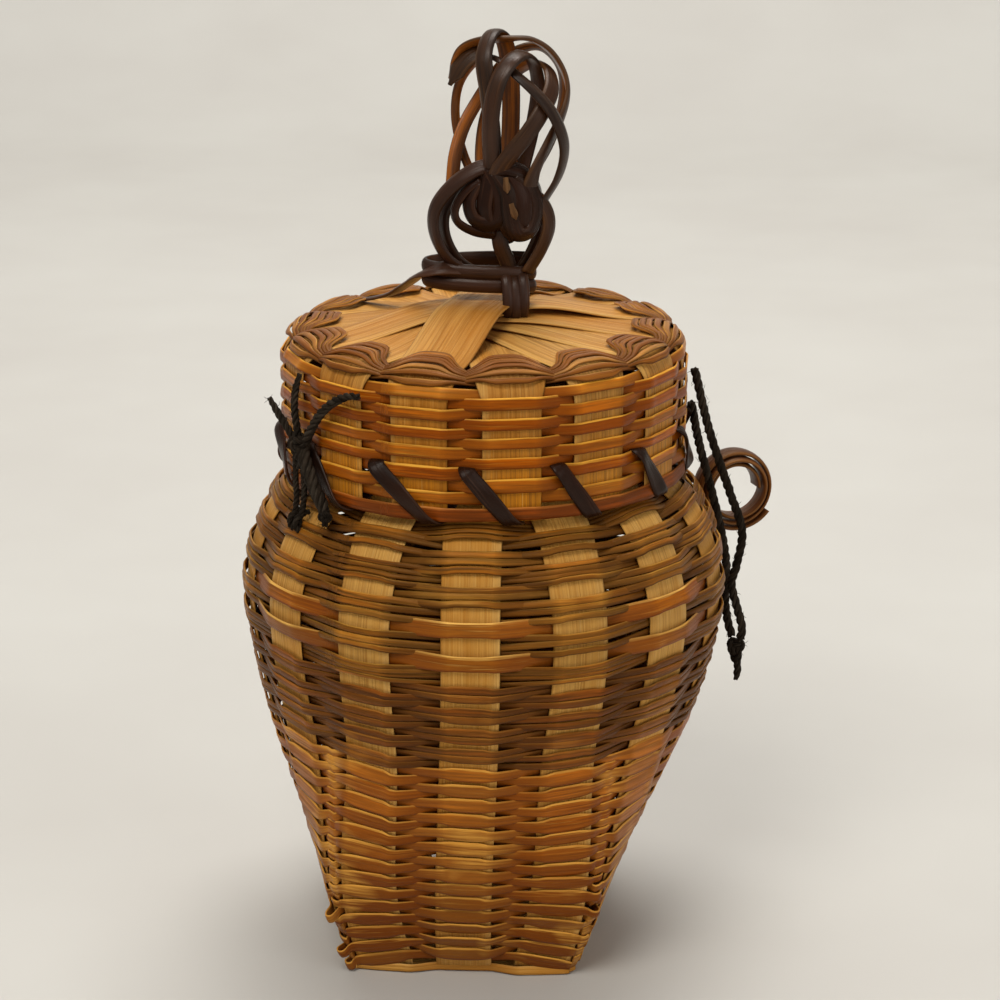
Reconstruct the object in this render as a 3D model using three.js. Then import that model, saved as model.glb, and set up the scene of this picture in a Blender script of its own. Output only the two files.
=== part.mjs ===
import * as THREE from 'three';

// A small fishing creel, hand-woven from split bamboo. Seven flat splints cross in a plaited
// base and rise as fourteen stakes. Pairs of weavers go over and under them, up to a
// shoulder and a narrow neck. The lid is woven the same way, with its stakes between the
// body's. It is lashed round its rim, tied to the shoulder with twine at the front left, and
// carries a grip of knotted strips.
// Millimetres, +Z up, front towards -Y. The origin is under the middle of the base.

// Strips and the room between them
const STAKE_WIDTH = 9.2;
const STAKE_THICKNESS = 0.6;
const WEAVER_THICKNESS = 0.4;
const LAY_GAP = 0.2;
const SEAT_GAP = 0.3;
const ROW_GAP = 0.5;

// Base
const FRONT_SPLINTS = 3;
const SIDE_SPLINTS = 4;
const FRONT_SPACE = 4.6;
const SIDE_SPACE = 1.5;
const FOLD_RADIUS = 1.3;
const FOLD_HEIGHT = 2.2;

// Wall profile, to the middle of the stakes
const SHOULDER_RADIUS = 41.4;
const SHOULDER_HEIGHT = 68;
const SEAT_HEIGHT = 86.2;
const MOUTH_RADIUS = 30;
const NECK_RISE = 4.7;
const NECK_WALL = 6;
const ROUND_HEIGHT = 50;
const LEAN = 2.6;
const WALL_STEPS = 27;

// Weaving
const LOWER_BAND = 46;
const LOWER_WEAVER_WIDTH = 2.9;
const LOWER_LENGTHS = 3;
const MIDDLE_BAND = 16;
const MIDDLE_WEAVER_WIDTH = 2.7;
const MIDDLE_LENGTHS = 1;
const SHOULDER_WEAVER_WIDTH = 2.2;
const SHOULDER_LENGTHS = 3;
const STEP_UP_STAKES = 3;

// Lid
const LID_TURN_DEGREES = 10.8;
const LID_LOWEST_STAKE = 1;
const LID_CLEARANCE = 1.8;
const LID_WALL = 19.4;
const LID_EDGE_RADIUS = 4.9;
const LID_EDGE_FACETS = 5;
const RIM_ROW_WIDTH = 3.3;
const LID_WEAVER_WIDTH = 1.9;
const LASHING_WIDTH = 2.2;
const LASHING_THICKNESS = 0.4;
const LASHING_BEND = 0.5;
const LASHING_SLANT = 0.54;
const LASHING_UNDER = 0.14;

// Grip on the lid
const GRIP_STRIP_WIDTH = 2.8;
const GRIP_STRIP_THICKNESS = 0.7;
const GRIP_LEAN_DEGREES = 6;
const BINDING_LENGTH = 19;
const BINDING_DEPTH = 12;
const BINDING_TURNS = 2;
const BINDING_STRIP_WIDTH = 1.6;
const STEM_HEIGHT = 9;
const STEM_WIDTH = 3.4;
const KNOT_RADIUS = 3.4;
const KNOT_STRAND = 0.95;
const SIDE_LOOP_FOOT = 4.5;
const SIDE_LOOP_TIP = 1.6;
const SIDE_LOOP_BULGE = 7;
const HOOP_COUNT = 4;
const HOOP_WIDTH = 21.8;
const HOOP_HEIGHT = 23.4;

// Belt ring
const RING_ANGLE_DEGREES = 112;
const RING_DROP = 8.2;
const RING_BORE_RADIUS = 4.3;
const RING_STRIP_WIDTH = 4.5;
const RING_STRIP_THICKNESS = 0.7;
const RING_TURNS = 2.5;
const RING_NEST = 0.7;

// Twine
const TIE_ANGLE_DEGREES = -52;
const TWINE_DIAMETER = 1.5;
const TAIL_DIAMETER = 2.2;
const TIE_KNOT_RADIUS = 1.9;
const LATCH_KNOT_RADIUS = 1.5;
const LATCH_KNOT_LENGTH = 4.4;

// Sizes that follow from the ones above
const stakeCount = 2 * (FRONT_SPLINTS + SIDE_SPLINTS);
const stakeTurn = 2 * Math.PI / stakeCount;
const lay = (STAKE_THICKNESS + WEAVER_THICKNESS) / 2 + LAY_GAP;
const wallHalf = lay + WEAVER_THICKNESS / 2;
const layReach = STAKE_WIDTH / 2 + LAY_GAP;
const stackStep = STAKE_THICKNESS + LAY_GAP;
const windGap = ROW_GAP;
const frontPitch = STAKE_WIDTH + FRONT_SPACE;
const sidePitch = STAKE_WIDTH + SIDE_SPACE;
const baseHalfX = ((FRONT_SPLINTS - 1) * frontPitch + STAKE_WIDTH) / 2;
const baseHalfY = ((SIDE_SPLINTS - 1) * sidePitch + STAKE_WIDTH) / 2;
const footHalfX = baseHalfX + FOLD_RADIUS;
const footHalfY = baseHalfY + FOLD_RADIUS;
const footMean = (footHalfX + footHalfY) / 2;
const lashingRoom = LASHING_THICKNESS + LAY_GAP;
const lidRadius = MOUTH_RADIUS + 2 * wallHalf + LID_CLEARANCE + lashingRoom;
const seatRadius = lidRadius - wallHalf;
const rimHeight = SEAT_HEIGHT + wallHalf + lashingRoom + SEAT_GAP;
const ringHeight = SEAT_HEIGHT - RING_DROP;

// Colours of the dried bamboo, the smoked strips and the twine
const STRAW = 0xcda55f;
const GOLD = 0xbe6e14;
const HONEY = 0xb4702c;
const OLIVE = 0x6e4b1e;
const UMBER = 0x64412a;
const SMOKED = 0x3c281e;
const BLACK = 0x141210;

const vec = (x, y, z) => new THREE.Vector3(x, y, z);
const radians = (degrees) => THREE.MathUtils.degToRad(degrees);
const along = (point, direction, distance) => point.clone().addScaledVector(direction, distance);

const creel = new THREE.Group();
const lid = new THREE.Group();
lid.position.set(LEAN, 0, rimHeight);
creel.add(lid);
const lidWeave = new THREE.Group();
lidWeave.rotation.z = radians(LID_TURN_DEGREES);
lid.add(lidWeave);

function addPiece(parent, name, geometry, color, roughness) {
  const material = new THREE.MeshStandardMaterial({ color, roughness, metalness: 0 });
  const mesh = new THREE.Mesh(geometry, material);
  mesh.name = name;
  parent.add(mesh);
}

function signedVolume(points, index) {
  let total = 0;
  for (let corner = 0; corner < index.length; corner += 3) {
    const [a, b, c] = index.slice(corner, corner + 3).map((place) => points[place]);
    total += a.dot(b.clone().cross(c));
  }
  return total / 6;
}

// A skin over rings with equal point counts, capped at both ends or closed on itself. Opposite
// sides are split along the same diagonal, so that a twisted strip keeps its thickness.
function loft(rings, closed) {
  const sides = rings[0].length;
  const spans = closed ? rings.length : rings.length - 1;
  const index = [];
  for (let span = 0; span < spans; span += 1) {
    const here = span * sides;
    const next = ((span + 1) % rings.length) * sides;
    for (let side = 0; side < sides; side += 1) {
      const turn = (side + 1) % sides;
      const [a, b, c, d] = [here + side, next + side, next + turn, here + turn];
      index.push(...(2 * side < sides ? [a, b, d, b, c, d] : [a, b, c, a, c, d]));
    }
  }
  const last = (rings.length - 1) * sides;
  for (let side = 1; !closed && side < sides - 1; side += 1) {
    index.push(0, side, side + 1);
    index.push(last, last + side + 1, last + side);
  }
  const points = rings.flat();
  if (signedVolume(points, index) < 0) {
    index.reverse();
  }
  return new THREE.BufferGeometry().setFromPoints(points).setIndex(index);
}

// The four corners of a flat strip's section. A station has its centre, the way
// across the strip and the way out of its outer face.
function stripRing(station, width, thickness) {
  const corners = [[1, 1], [-1, 1], [-1, -1], [1, -1]];
  return corners.map(([side, face]) => {
    const edge = along(station.centre, station.across, side * width / 2);
    return along(edge, station.out, face * thickness / 2);
  });
}

function strip(stations, width, thickness, closed = false) {
  return loft(stations.map((station) => stripRing(station, width, thickness)), closed);
}

// Stations of a strip along a path, when only its centres and outer faces are known.
function stationsAlong(centres, outs) {
  return centres.map((centre, place) => {
    const before = centres[Math.max(place - 1, 0)];
    const after = centres[Math.min(place + 1, centres.length - 1)];
    const travel = after.clone().sub(before).normalize();
    const across = outs[place].clone().cross(travel).normalize();
    return { centre, across, out: outs[place] };
  });
}

// The least distance between corners of a wound strip that lie further apart along it than skip.
function leastGap(stations, width, thickness, skip) {
  const rings = stations.map((station) => stripRing(station, width, thickness));
  let least = Infinity;
  for (let first = 0; first < rings.length; first += 1) {
    for (let second = first + skip; second < rings.length; second += 1) {
      for (const point of rings[first]) {
        least = Math.min(least, ...rings[second].map((other) => other.distanceTo(point)));
      }
    }
  }
  return least;
}

// Twine along a hand-laid route.
function twine(points, diameter, steps) {
  const outline = new THREE.Shape();
  const sides = 8;
  for (let side = 0; side < sides; side += 1) {
    const angle = 2 * Math.PI * side / sides;
    outline[side ? 'lineTo' : 'moveTo'](Math.cos(angle) * diameter / 2, Math.sin(angle) * diameter / 2);
  }
  outline.closePath();
  const extrudePath = new THREE.CatmullRomCurve3(points, false, 'centripetal');
  return new THREE.ExtrudeGeometry(outline, { steps, extrudePath, bevelEnabled: false });
}

// Stakes of the basket. Stakes are counted from the front's left one towards the right.
const frontX = (place) => (place - (FRONT_SPLINTS - 1) / 2) * frontPitch;
const sideY = (place) => (place - (SIDE_SPLINTS - 1) / 2) * sidePitch;

const feet = [];
for (let place = 0; place < FRONT_SPLINTS; place += 1) {
  feet.push({ foot: vec(frontX(place), -footHalfY, 0), across: vec(1, 0, 0) });
}
for (let place = 0; place < SIDE_SPLINTS; place += 1) {
  feet.push({ foot: vec(footHalfX, sideY(place), 0), across: vec(0, 1, 0) });
}
for (let place = FRONT_SPLINTS - 1; place >= 0; place -= 1) {
  feet.push({ foot: vec(frontX(place), footHalfY, 0), across: vec(-1, 0, 0) });
}
for (let place = SIDE_SPLINTS - 1; place >= 0; place -= 1) {
  feet.push({ foot: vec(-footHalfX, sideY(place), 0), across: vec(0, -1, 0) });
}

const stakeAngle = (stake) => (stake - (FRONT_SPLINTS - 1) / 2) * stakeTurn;
const radial = (angle) => vec(Math.sin(angle), -Math.cos(angle), 0);
const tangent = (angle) => vec(Math.cos(angle), Math.sin(angle), 0);

const flat = (x, y) => new THREE.Vector2(x, y);
const neckFoot = SEAT_HEIGHT + NECK_RISE;
const mouthHeight = neckFoot + NECK_WALL;
const wallProfile = new THREE.CurvePath();

// A smooth curve between two points of the profile. The shares say how far along its
// radius and its height each of the two handles lies.
function addCurve(from, to, [first, second]) {
  const handle = ([share, rise]) =>
    flat(THREE.MathUtils.lerp(from.x, to.x, share), THREE.MathUtils.lerp(from.y, to.y, rise));
  wallProfile.add(new THREE.CubicBezierCurve(from, handle(first), handle(second), to));
}

const foldPoint = flat(footMean, FOLD_HEIGHT);
const shoulderPoint = flat(SHOULDER_RADIUS, SHOULDER_HEIGHT);
const seatPoint = flat(seatRadius, SEAT_HEIGHT);
const neckPoint = flat(MOUTH_RADIUS, neckFoot);
addCurve(foldPoint, shoulderPoint, [[0.4, 0.3], [1, 0.7]]);
addCurve(shoulderPoint, seatPoint, [[0, 0.43], [0.58, 0.87]]);
addCurve(seatPoint, neckPoint, [[0.6, 0.26], [1, 0.5]]);
wallProfile.add(new THREE.LineCurve(neckPoint, flat(MOUTH_RADIUS, mouthHeight)));
const wallPoints = wallProfile.getSpacedPoints(WALL_STEPS);
const wallLength = wallProfile.getLength();
const [, seatAt, neckStart] = wallProfile.getCurveLengths();

// The square base turns into a round wall over the lower part of the height.
function stakeCentre(stake, point) {
  const square = 1 - THREE.MathUtils.smoothstep(point.y, 0, ROUND_HEIGHT);
  const round = radial(stakeAngle(stake)).multiplyScalar(point.x);
  const foot = feet[stake].foot.clone().multiplyScalar(point.x / footMean);
  const centre = round.lerp(foot, square);
  centre.x += LEAN * THREE.MathUtils.smoothstep(point.y, 0, SHOULDER_HEIGHT);
  centre.z = point.y;
  return centre;
}

function stakeFrames(stake) {
  const centres = wallPoints.map((point) => stakeCentre(stake, point));
  return centres.map((centre, step) => {
    const below = centres[Math.max(step - 1, 0)];
    const above = centres[Math.min(step + 1, WALL_STEPS)];
    const rise = above.clone().sub(below).normalize();
    const square = 1 - THREE.MathUtils.smoothstep(centre.z, 0, ROUND_HEIGHT);
    const level = tangent(stakeAngle(stake)).lerp(feet[stake].across, square);
    const out = level.cross(rise).normalize();
    const across = rise.clone().cross(out);
    return { at: wallLength * step / WALL_STEPS, centre, across, out, rise };
  });
}

const bodyFrames = feet.map((foot, stake) => stakeFrames(stake));

// A stake's frame at any length along it, on the straight run between two stations.
function frameAt(frames, at) {
  const found = frames.findIndex((frame) => frame.at >= at);
  const upper = found < 0 ? frames.length - 1 : Math.max(found, 1);
  const low = frames[upper - 1];
  const high = frames[upper];
  const share = (at - low.at) / (high.at - low.at);
  const mix = (key) => low[key].clone().lerp(high[key], share);
  return { centre: mix('centre'), out: mix('out').normalize(), across: mix('across').normalize(),
    rise: mix('rise').normalize() };
}

// Where a weaver lies flat on one stake: its two ends there, on the outside or the inside.
function layOn(frames, heights, outside) {
  return [-1, 1].map((end, place) => {
    const frame = frameAt(frames, heights[place]);
    const edge = along(frame.centre, frame.across, end * layReach);
    return { centre: along(edge, frame.out, outside ? lay : -lay), across: frame.rise, out: frame.out };
  });
}

function hoop(stakes, at, width, evenOutside) {
  const stations = stakes.flatMap((frames, stake) =>
    layOn(frames, [at, at], (stake % 2 === 0) === evenOutside));
  return strip(stations, width, WEAVER_THICKNESS, true);
}

// The end of one length of weaver and the start of the next, which meet behind a stake.
function joinBetween(left, right) {
  const half = ROW_GAP / (4 * layReach);
  return [0.5 - half, 0.5 + half].map((share) => {
    const mix = (key) => left[key].clone().lerp(right[key], share);
    return { centre: mix('centre'), across: mix('across').normalize(), out: mix('out').normalize() };
  });
}

// One of a pair of weavers that chase each other, as its lengths. Its courses are level, and
// it steps up past its partner's course over the last stakes, at the back.
function weaver(stakes, band, width, evenOutside) {
  const pitch = (band.end - band.start) / (2 * band.courses);
  const first = band.start + pitch * (evenOutside ? 0.5 : 1.5);
  const begin = 2 * FRONT_SPLINTS + SIDE_SPLINTS;
  const stepStart = stakeCount - STEP_UP_STAKES;
  const climb = (place) => THREE.MathUtils.clamp((place - stepStart + 0.5) / STEP_UP_STAKES, 0, 1);
  const total = band.courses * stakeCount - STEP_UP_STAKES;
  const lengths = [[]];
  for (let count = 0; count < total; count += 1) {
    const stake = (begin + count) % stakeCount;
    const course = Math.floor(count / stakeCount);
    const place = count % stakeCount;
    const outside = (stake % 2 === 0) === evenOutside;
    const heights = [-0.25, 0.25].map((side) => first + 2 * pitch * (course + climb(place + side)));
    const [left, right] = layOn(stakes[stake], heights, outside);
    if (!outside && count >= total * lengths.length / band.lengths) {
      const [end, start] = joinBetween(left, right);
      lengths.at(-1).push(left, end);
      lengths.push([start, right]);
    } else {
      lengths.at(-1).push(left, right);
    }
  }
  return lengths.map((stations) => strip(stations, width, WEAVER_THICKNESS));
}

function bandOf(start, end, width, lengths) {
  const courses = Math.max(1, Math.floor((end - start) / (2 * (width + ROW_GAP))));
  return { start, end, courses, lengths };
}

// Splints: down one wall, folded under, plaited across the base and up the opposite wall.
const ringOf = (place, count) => Math.round(Math.abs(place - (count - 1) / 2) + 0.5);
const lowLevel = STAKE_THICKNESS / 2;
const levels = [lowLevel, lowLevel + stackStep];
const frontIsLow = (front, side) => (front + ringOf(side, SIDE_SPLINTS)) % 2 === 0;

function wallDown(stake) {
  return [...bodyFrames[stake]].reverse();
}

function wallUp(stake) {
  return bodyFrames[stake].map((frame) => ({ ...frame, across: frame.across.clone().negate() }));
}

// The plaited run of one splint, from where it turns under one wall to where it turns up again.
function baseRun(crossings, pointAt, across, footHalf, travel) {
  const under = vec(0, 0, -1);
  const bend = FOLD_RADIUS * (1 - Math.SQRT1_2);
  const foldAt = (end) => {
    const level = crossings.at(end < 0 ? 0 : -1).level;
    const centre = pointAt(end * (footHalf - bend), level + bend);
    return { centre, across, out: along(under, travel, end).normalize() };
  };
  const runs = crossings.flatMap(({ place, level }) => [-1, 1].map((side) =>
    ({ centre: pointAt(place + side * STAKE_WIDTH / 2, level), across, out: under })));
  return [foldAt(-1), ...runs, foldAt(1)];
}

for (let front = 0; front < FRONT_SPLINTS; front += 1) {
  const crossings = [];
  for (let side = 0; side < SIDE_SPLINTS; side += 1) {
    crossings.push({ place: sideY(side), level: levels[frontIsLow(front, side) ? 0 : 1] });
  }
  const pointAt = (place, level) => vec(frontX(front), place, level);
  const run = baseRun(crossings, pointAt, vec(1, 0, 0), footHalfY, vec(0, 1, 0));
  const opposite = 2 * FRONT_SPLINTS + SIDE_SPLINTS - 1 - front;
  const stations = [...wallDown(front), ...run, ...wallUp(opposite)];
  addPiece(creel, `front_splint_${front + 1}`, strip(stations, STAKE_WIDTH, STAKE_THICKNESS), STRAW, 0.55);
}

for (let side = 0; side < SIDE_SPLINTS; side += 1) {
  const crossings = [];
  for (let front = FRONT_SPLINTS - 1; front >= 0; front -= 1) {
    crossings.push({ place: -frontX(front), level: levels[frontIsLow(front, side) ? 1 : 0] });
  }
  const pointAt = (place, level) => vec(-place, sideY(side), level);
  const run = baseRun(crossings, pointAt, vec(0, 1, 0), footHalfX, vec(-1, 0, 0));
  const opposite = stakeCount - 1 - side;
  const stations = [...wallDown(FRONT_SPLINTS + side), ...run, ...wallUp(opposite)];
  addPiece(creel, `side_splint_${side + 1}`, strip(stations, STAKE_WIDTH, STAKE_THICKNESS), STRAW, 0.55);
}

// Weavers of the wall, in three bands, and the two hoops of the neck.
const bands = [
  ['lower', 0, LOWER_BAND, LOWER_WEAVER_WIDTH, LOWER_LENGTHS, HONEY],
  ['middle', LOWER_BAND, LOWER_BAND + MIDDLE_BAND, MIDDLE_WEAVER_WIDTH, MIDDLE_LENGTHS, UMBER],
  ['shoulder', LOWER_BAND + MIDDLE_BAND, seatAt, SHOULDER_WEAVER_WIDTH, SHOULDER_LENGTHS, OLIVE],
];
for (const [name, start, end, width, lengths, color] of bands) {
  const band = bandOf(start, end, width, lengths);
  const pair = [true, false].flatMap((evenOutside) => weaver(bodyFrames, band, width, evenOutside));
  pair.forEach((geometry, place) => addPiece(creel, `${name}_weaver_${place + 1}`, geometry, color, 0.4));
}

const neckRow = NECK_WALL / 2;
[1, 2].forEach((row) => {
  const at = neckStart + neckRow * (row - 0.5);
  const geometry = hoop(bodyFrames, at, neckRow - ROW_GAP, row === 1);
  addPiece(creel, `neck_hoop_${row}`, geometry, HONEY, 0.4);
});

// Lid splints: up the wall, over the rounded edge, and across the top in a stack of levels.
// The top one comes up at the front left, beside the lowest.
const lidSplints = stakeCount / 2;
const lidTop = LID_WALL + LID_EDGE_RADIUS;
const levelRadius = (STAKE_WIDTH + 2 * LAY_GAP) / (2 * Math.sin(stakeTurn / 2));
const facetTurn = Math.PI / 2 / LID_EDGE_FACETS;
const facetLength = 2 * LID_EDGE_RADIUS * Math.sin(facetTurn / 2);

function lidFrames(stake) {
  const angle = stakeAngle(stake);
  const across = tangent(angle);
  const level = ((stake + stakeCount - LID_LOWEST_STAKE) % lidSplints) * stackStep;
  const place = (radius, height) => radial(angle).multiplyScalar(radius).setZ(height);
  const lean = (turn) => radial(angle).multiplyScalar(Math.cos(turn)).setZ(Math.sin(turn));
  const frame = (at, centre, turn) =>
    ({ at, centre, across, out: lean(turn), rise: lean(turn + Math.PI / 2) });
  const frames = [frame(0, place(lidRadius, 0), 0)];
  for (let facet = 0; facet <= LID_EDGE_FACETS; facet += 1) {
    const turn = facet * facetTurn;
    const radius = lidRadius - LID_EDGE_RADIUS * (1 - Math.cos(turn));
    const height = LID_WALL + LID_EDGE_RADIUS * Math.sin(turn);
    frames.push(frame(LID_WALL + facet * facetLength, place(radius, height), turn));
  }
  frames.push(frame(Infinity, place(levelRadius, lidTop + level), Math.PI / 2));
  return frames;
}

const lidStakes = feet.map((foot, stake) => lidFrames(stake));
for (let splint = 0; splint < lidSplints; splint += 1) {
  const far = [...lidStakes[splint + lidSplints]].reverse();
  const turned = far.map((frame) => ({ ...frame, across: frame.across.clone().negate() }));
  const stations = [...lidStakes[splint], ...turned];
  addPiece(lidWeave, `lid_splint_${splint + 1}`, strip(stations, STAKE_WIDTH, STAKE_THICKNESS), STRAW, 0.5);
}

// Lid weaving: two rim hoops, a woven wall and two hoops on the rounded edge.
const rimRowPitch = RIM_ROW_WIDTH + ROW_GAP;
const rimRowsTop = LAY_GAP + RIM_ROW_WIDTH + rimRowPitch;
const lashingTop = rimRowsTop + LAY_GAP + LASHING_THICKNESS / 2;
const lidBandStart = lashingTop + LASHING_THICKNESS / 2 + LAY_GAP;
const lidBand = bandOf(lidBandStart, LID_WALL, LID_WEAVER_WIDTH, 1);
[1, 2].forEach((row) => {
  const outside = row === 1;
  const rimAt = LAY_GAP + RIM_ROW_WIDTH / 2 + rimRowPitch * (row - 1);
  const edgeAt = LID_WALL + facetLength * (2 * row - 0.5);
  const edgeWidth = 2 * facetLength - ROW_GAP;
  addPiece(lidWeave, `lid_rim_hoop_${row}`, hoop(lidStakes, rimAt, RIM_ROW_WIDTH, outside), GOLD, 0.35);
  const [wallWeaver] = weaver(lidStakes, lidBand, LID_WEAVER_WIDTH, outside);
  addPiece(lidWeave, `lid_wall_weaver_${row}`, wallWeaver, GOLD, 0.35);
  addPiece(lidWeave, `lid_edge_hoop_${row}`, hoop(lidStakes, edgeAt, edgeWidth, outside), OLIVE, 0.45);
});

// Rim lashing: one strip wound round the two rim hoops, a turn for every gap between stakes.
// A turn has four passes: out over the top, down the outside, in under the rim, up the inside.
// The last turn ends low on the inside, short of where the strip starts.
function lashingStations() {
  const outer = Math.hypot(lidRadius + wallHalf, layReach) + LAY_GAP + LASHING_THICKNESS / 2;
  const inner = lidRadius - wallHalf - LAY_GAP - LASHING_THICKNESS / 2;
  const bottom = -LAY_GAP - LASHING_THICKNESS / 2;
  const nearOuter = outer - LASHING_BEND;
  const nearInner = inner + LASHING_BEND;
  const low = bottom + LASHING_BEND;
  const high = lashingTop - LASHING_BEND;
  const landed = LASHING_SLANT + LASHING_UNDER;
  const slanted = (share) => [outer, THREE.MathUtils.lerp(high, low, share), share * LASHING_SLANT];
  const passes = [
    { out: [0, 1], points: [[nearInner, lashingTop, 0], [nearOuter, lashingTop, 0]] },
    { out: [1, 0], points: [0, 1 / 3, 2 / 3, 1].map(slanted) },
    { out: [0, -1], points: [[nearOuter, bottom, LASHING_SLANT], [nearInner, bottom, landed]] },
    { out: [-1, 0], points: [[inner, low, landed], [inner, high, 1]] },
  ];
  const stations = [];
  for (let turn = 0; turn < stakeCount; turn += 1) {
    for (const { out, points } of passes) {
      const angles = points.map(([, , share]) => stakeAngle(turn + 0.5 + share));
      const centres = points.map(([radius, height], place) =>
        radial(angles[place]).multiplyScalar(radius).setZ(height));
      const outs = angles.map((angle) => radial(angle).multiplyScalar(out[0]).setZ(out[1]));
      stations.push(...stationsAlong(centres, outs));
    }
  }
  return stations.slice(0, -1);
}

const lashing = lashingStations();
addPiece(lidWeave, 'rim_lashing', strip(lashing, LASHING_WIDTH, LASHING_THICKNESS), SMOKED, 0.45);
const lashingGap = leastGap(lashing, LASHING_WIDTH, LASHING_THICKNESS, 6);

// Grip: an oval binding on the crossed splints, a stem and a knot, two side loops and
// a nest of hoops. The strands lean a little to the right.
const gripSeat = lidTop + (lidSplints - 1) * stackStep + STAKE_THICKNESS / 2 + SEAT_GAP;
const gripTop = new THREE.Group();
gripTop.position.set(0, 0, gripSeat);
lid.add(gripTop);

function bindingStations() {
  const steps = 22 * BINDING_TURNS;
  const centres = [];
  const outs = [];
  for (let step = 0; step <= steps; step += 1) {
    const angle = 2 * Math.PI * BINDING_TURNS * step / steps;
    const rise = (BINDING_STRIP_WIDTH + windGap) * BINDING_TURNS * step / steps;
    const halfX = BINDING_LENGTH / 2;
    const halfY = BINDING_DEPTH / 2;
    centres.push(vec(halfX * Math.sin(angle), halfY * Math.cos(angle), BINDING_STRIP_WIDTH / 2 + rise));
    outs.push(vec(Math.sin(angle) / halfX, Math.cos(angle) / halfY, 0).normalize());
  }
  return centres.map((centre, step) => ({ centre, across: vec(0, 0, 1), out: outs[step] }));
}

const binding = bindingStations();
addPiece(gripTop, 'grip_binding', strip(binding, BINDING_STRIP_WIDTH, GRIP_STRIP_THICKNESS), SMOKED, 0.4);
const bindingGap = leastGap(binding, BINDING_STRIP_WIDTH, GRIP_STRIP_THICKNESS, 11);

const leaning = new THREE.Group();
leaning.rotation.y = radians(GRIP_LEAN_DEGREES);
gripTop.add(leaning);

const stemFoot = STEM_WIDTH / 2 * Math.sin(radians(GRIP_LEAN_DEGREES));
const stemStations = [stemFoot, STEM_HEIGHT].map((height) =>
  ({ centre: vec(0, 0, height), across: vec(1, 0, 0), out: vec(0, -1, 0) }));
addPiece(leaning, 'grip_stem', strip(stemStations, STEM_WIDTH, 2 * GRIP_STRIP_THICKNESS), SMOKED, 0.4);

const knotReach = 1.5 * KNOT_RADIUS + KNOT_STRAND;
const knotCentre = STEM_HEIGHT + SEAT_GAP + knotReach;
const knotGeometry = new THREE.TorusKnotGeometry(KNOT_RADIUS, KNOT_STRAND, 42, 6, 2, 3);
knotGeometry.rotateX(Math.PI / 2);
knotGeometry.translate(0, 0, knotCentre);
addPiece(leaning, 'grip_knot', knotGeometry, SMOKED, 0.4);

// A side loop springs from the binding, swells round the knot and turns in over its top.
const bindingTop = (BINDING_TURNS + 1) * BINDING_STRIP_WIDTH + BINDING_TURNS * windGap;
const loopLean = BINDING_LENGTH / 2 * Math.sin(radians(GRIP_LEAN_DEGREES));
const loopBase = bindingTop + loopLean + SEAT_GAP;
const loopTop = knotCentre + knotReach + SEAT_GAP + GRIP_STRIP_THICKNESS / 2;
const loopSteps = 14;
for (const [name, side] of [['left', -1], ['right', 1]]) {
  const centres = [];
  const outs = [];
  for (let step = 0; step <= loopSteps; step += 1) {
    const angle = Math.PI * step / loopSteps;
    const reach = THREE.MathUtils.lerp(SIDE_LOOP_FOOT, SIDE_LOOP_TIP, step / loopSteps);
    const swell = SIDE_LOOP_BULGE * Math.sin(angle);
    const height = THREE.MathUtils.lerp(loopTop, loopBase, (1 + Math.cos(angle)) / 2);
    centres.push(vec(side * (reach + swell), 0, height));
    outs.push(vec(side * Math.sin(angle), 0, -Math.cos(angle)));
  }
  const stations = centres.map((centre, step) => ({ centre, across: vec(0, 1, 0), out: outs[step] }));
  const geometry = strip(stations, GRIP_STRIP_WIDTH, GRIP_STRIP_THICKNESS);
  addPiece(leaning, `grip_loop_${name}`, geometry, SMOKED, 0.4);
}

const hoopStep = GRIP_STRIP_THICKNESS + ROW_GAP;
const hoopCentre = loopTop + GRIP_STRIP_THICKNESS + SEAT_GAP + HOOP_HEIGHT / 2;
const hoopSteps = 28;
for (let nest = 0; nest < HOOP_COUNT; nest += 1) {
  const halfWidth = HOOP_WIDTH / 2 - nest * hoopStep;
  const halfHeight = HOOP_HEIGHT / 2 - nest * hoopStep;
  const facing = vec(1, 0, 0).applyAxisAngle(vec(0, 0, 1), Math.PI * (nest + 0.2) / HOOP_COUNT);
  const across = facing.clone().cross(vec(0, 0, 1));
  const stations = [];
  for (let step = 0; step < hoopSteps; step += 1) {
    const angle = 2 * Math.PI * step / hoopSteps;
    const centre = facing.clone().multiplyScalar(halfWidth * Math.cos(angle));
    centre.z = hoopCentre + halfHeight * Math.sin(angle);
    const out = facing.clone().multiplyScalar(Math.cos(angle) / halfWidth);
    out.z = Math.sin(angle) / halfHeight;
    stations.push({ centre, across, out: out.normalize() });
  }
  const geometry = strip(stations, GRIP_STRIP_WIDTH, GRIP_STRIP_THICKNESS, true);
  addPiece(leaning, `grip_hoop_${nest + 1}`, geometry, SMOKED, 0.4);
}

// Belt ring: one strip coiled in an upright plane. It nests against the shoulder between two stakes.
function shoulderReach(height) {
  const above = wallPoints.findIndex((point) => point.y > height);
  const low = wallPoints[above - 1];
  const high = wallPoints[above];
  return THREE.MathUtils.mapLinear(height, low.y, high.y, low.x, high.x) + wallHalf;
}

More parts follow.
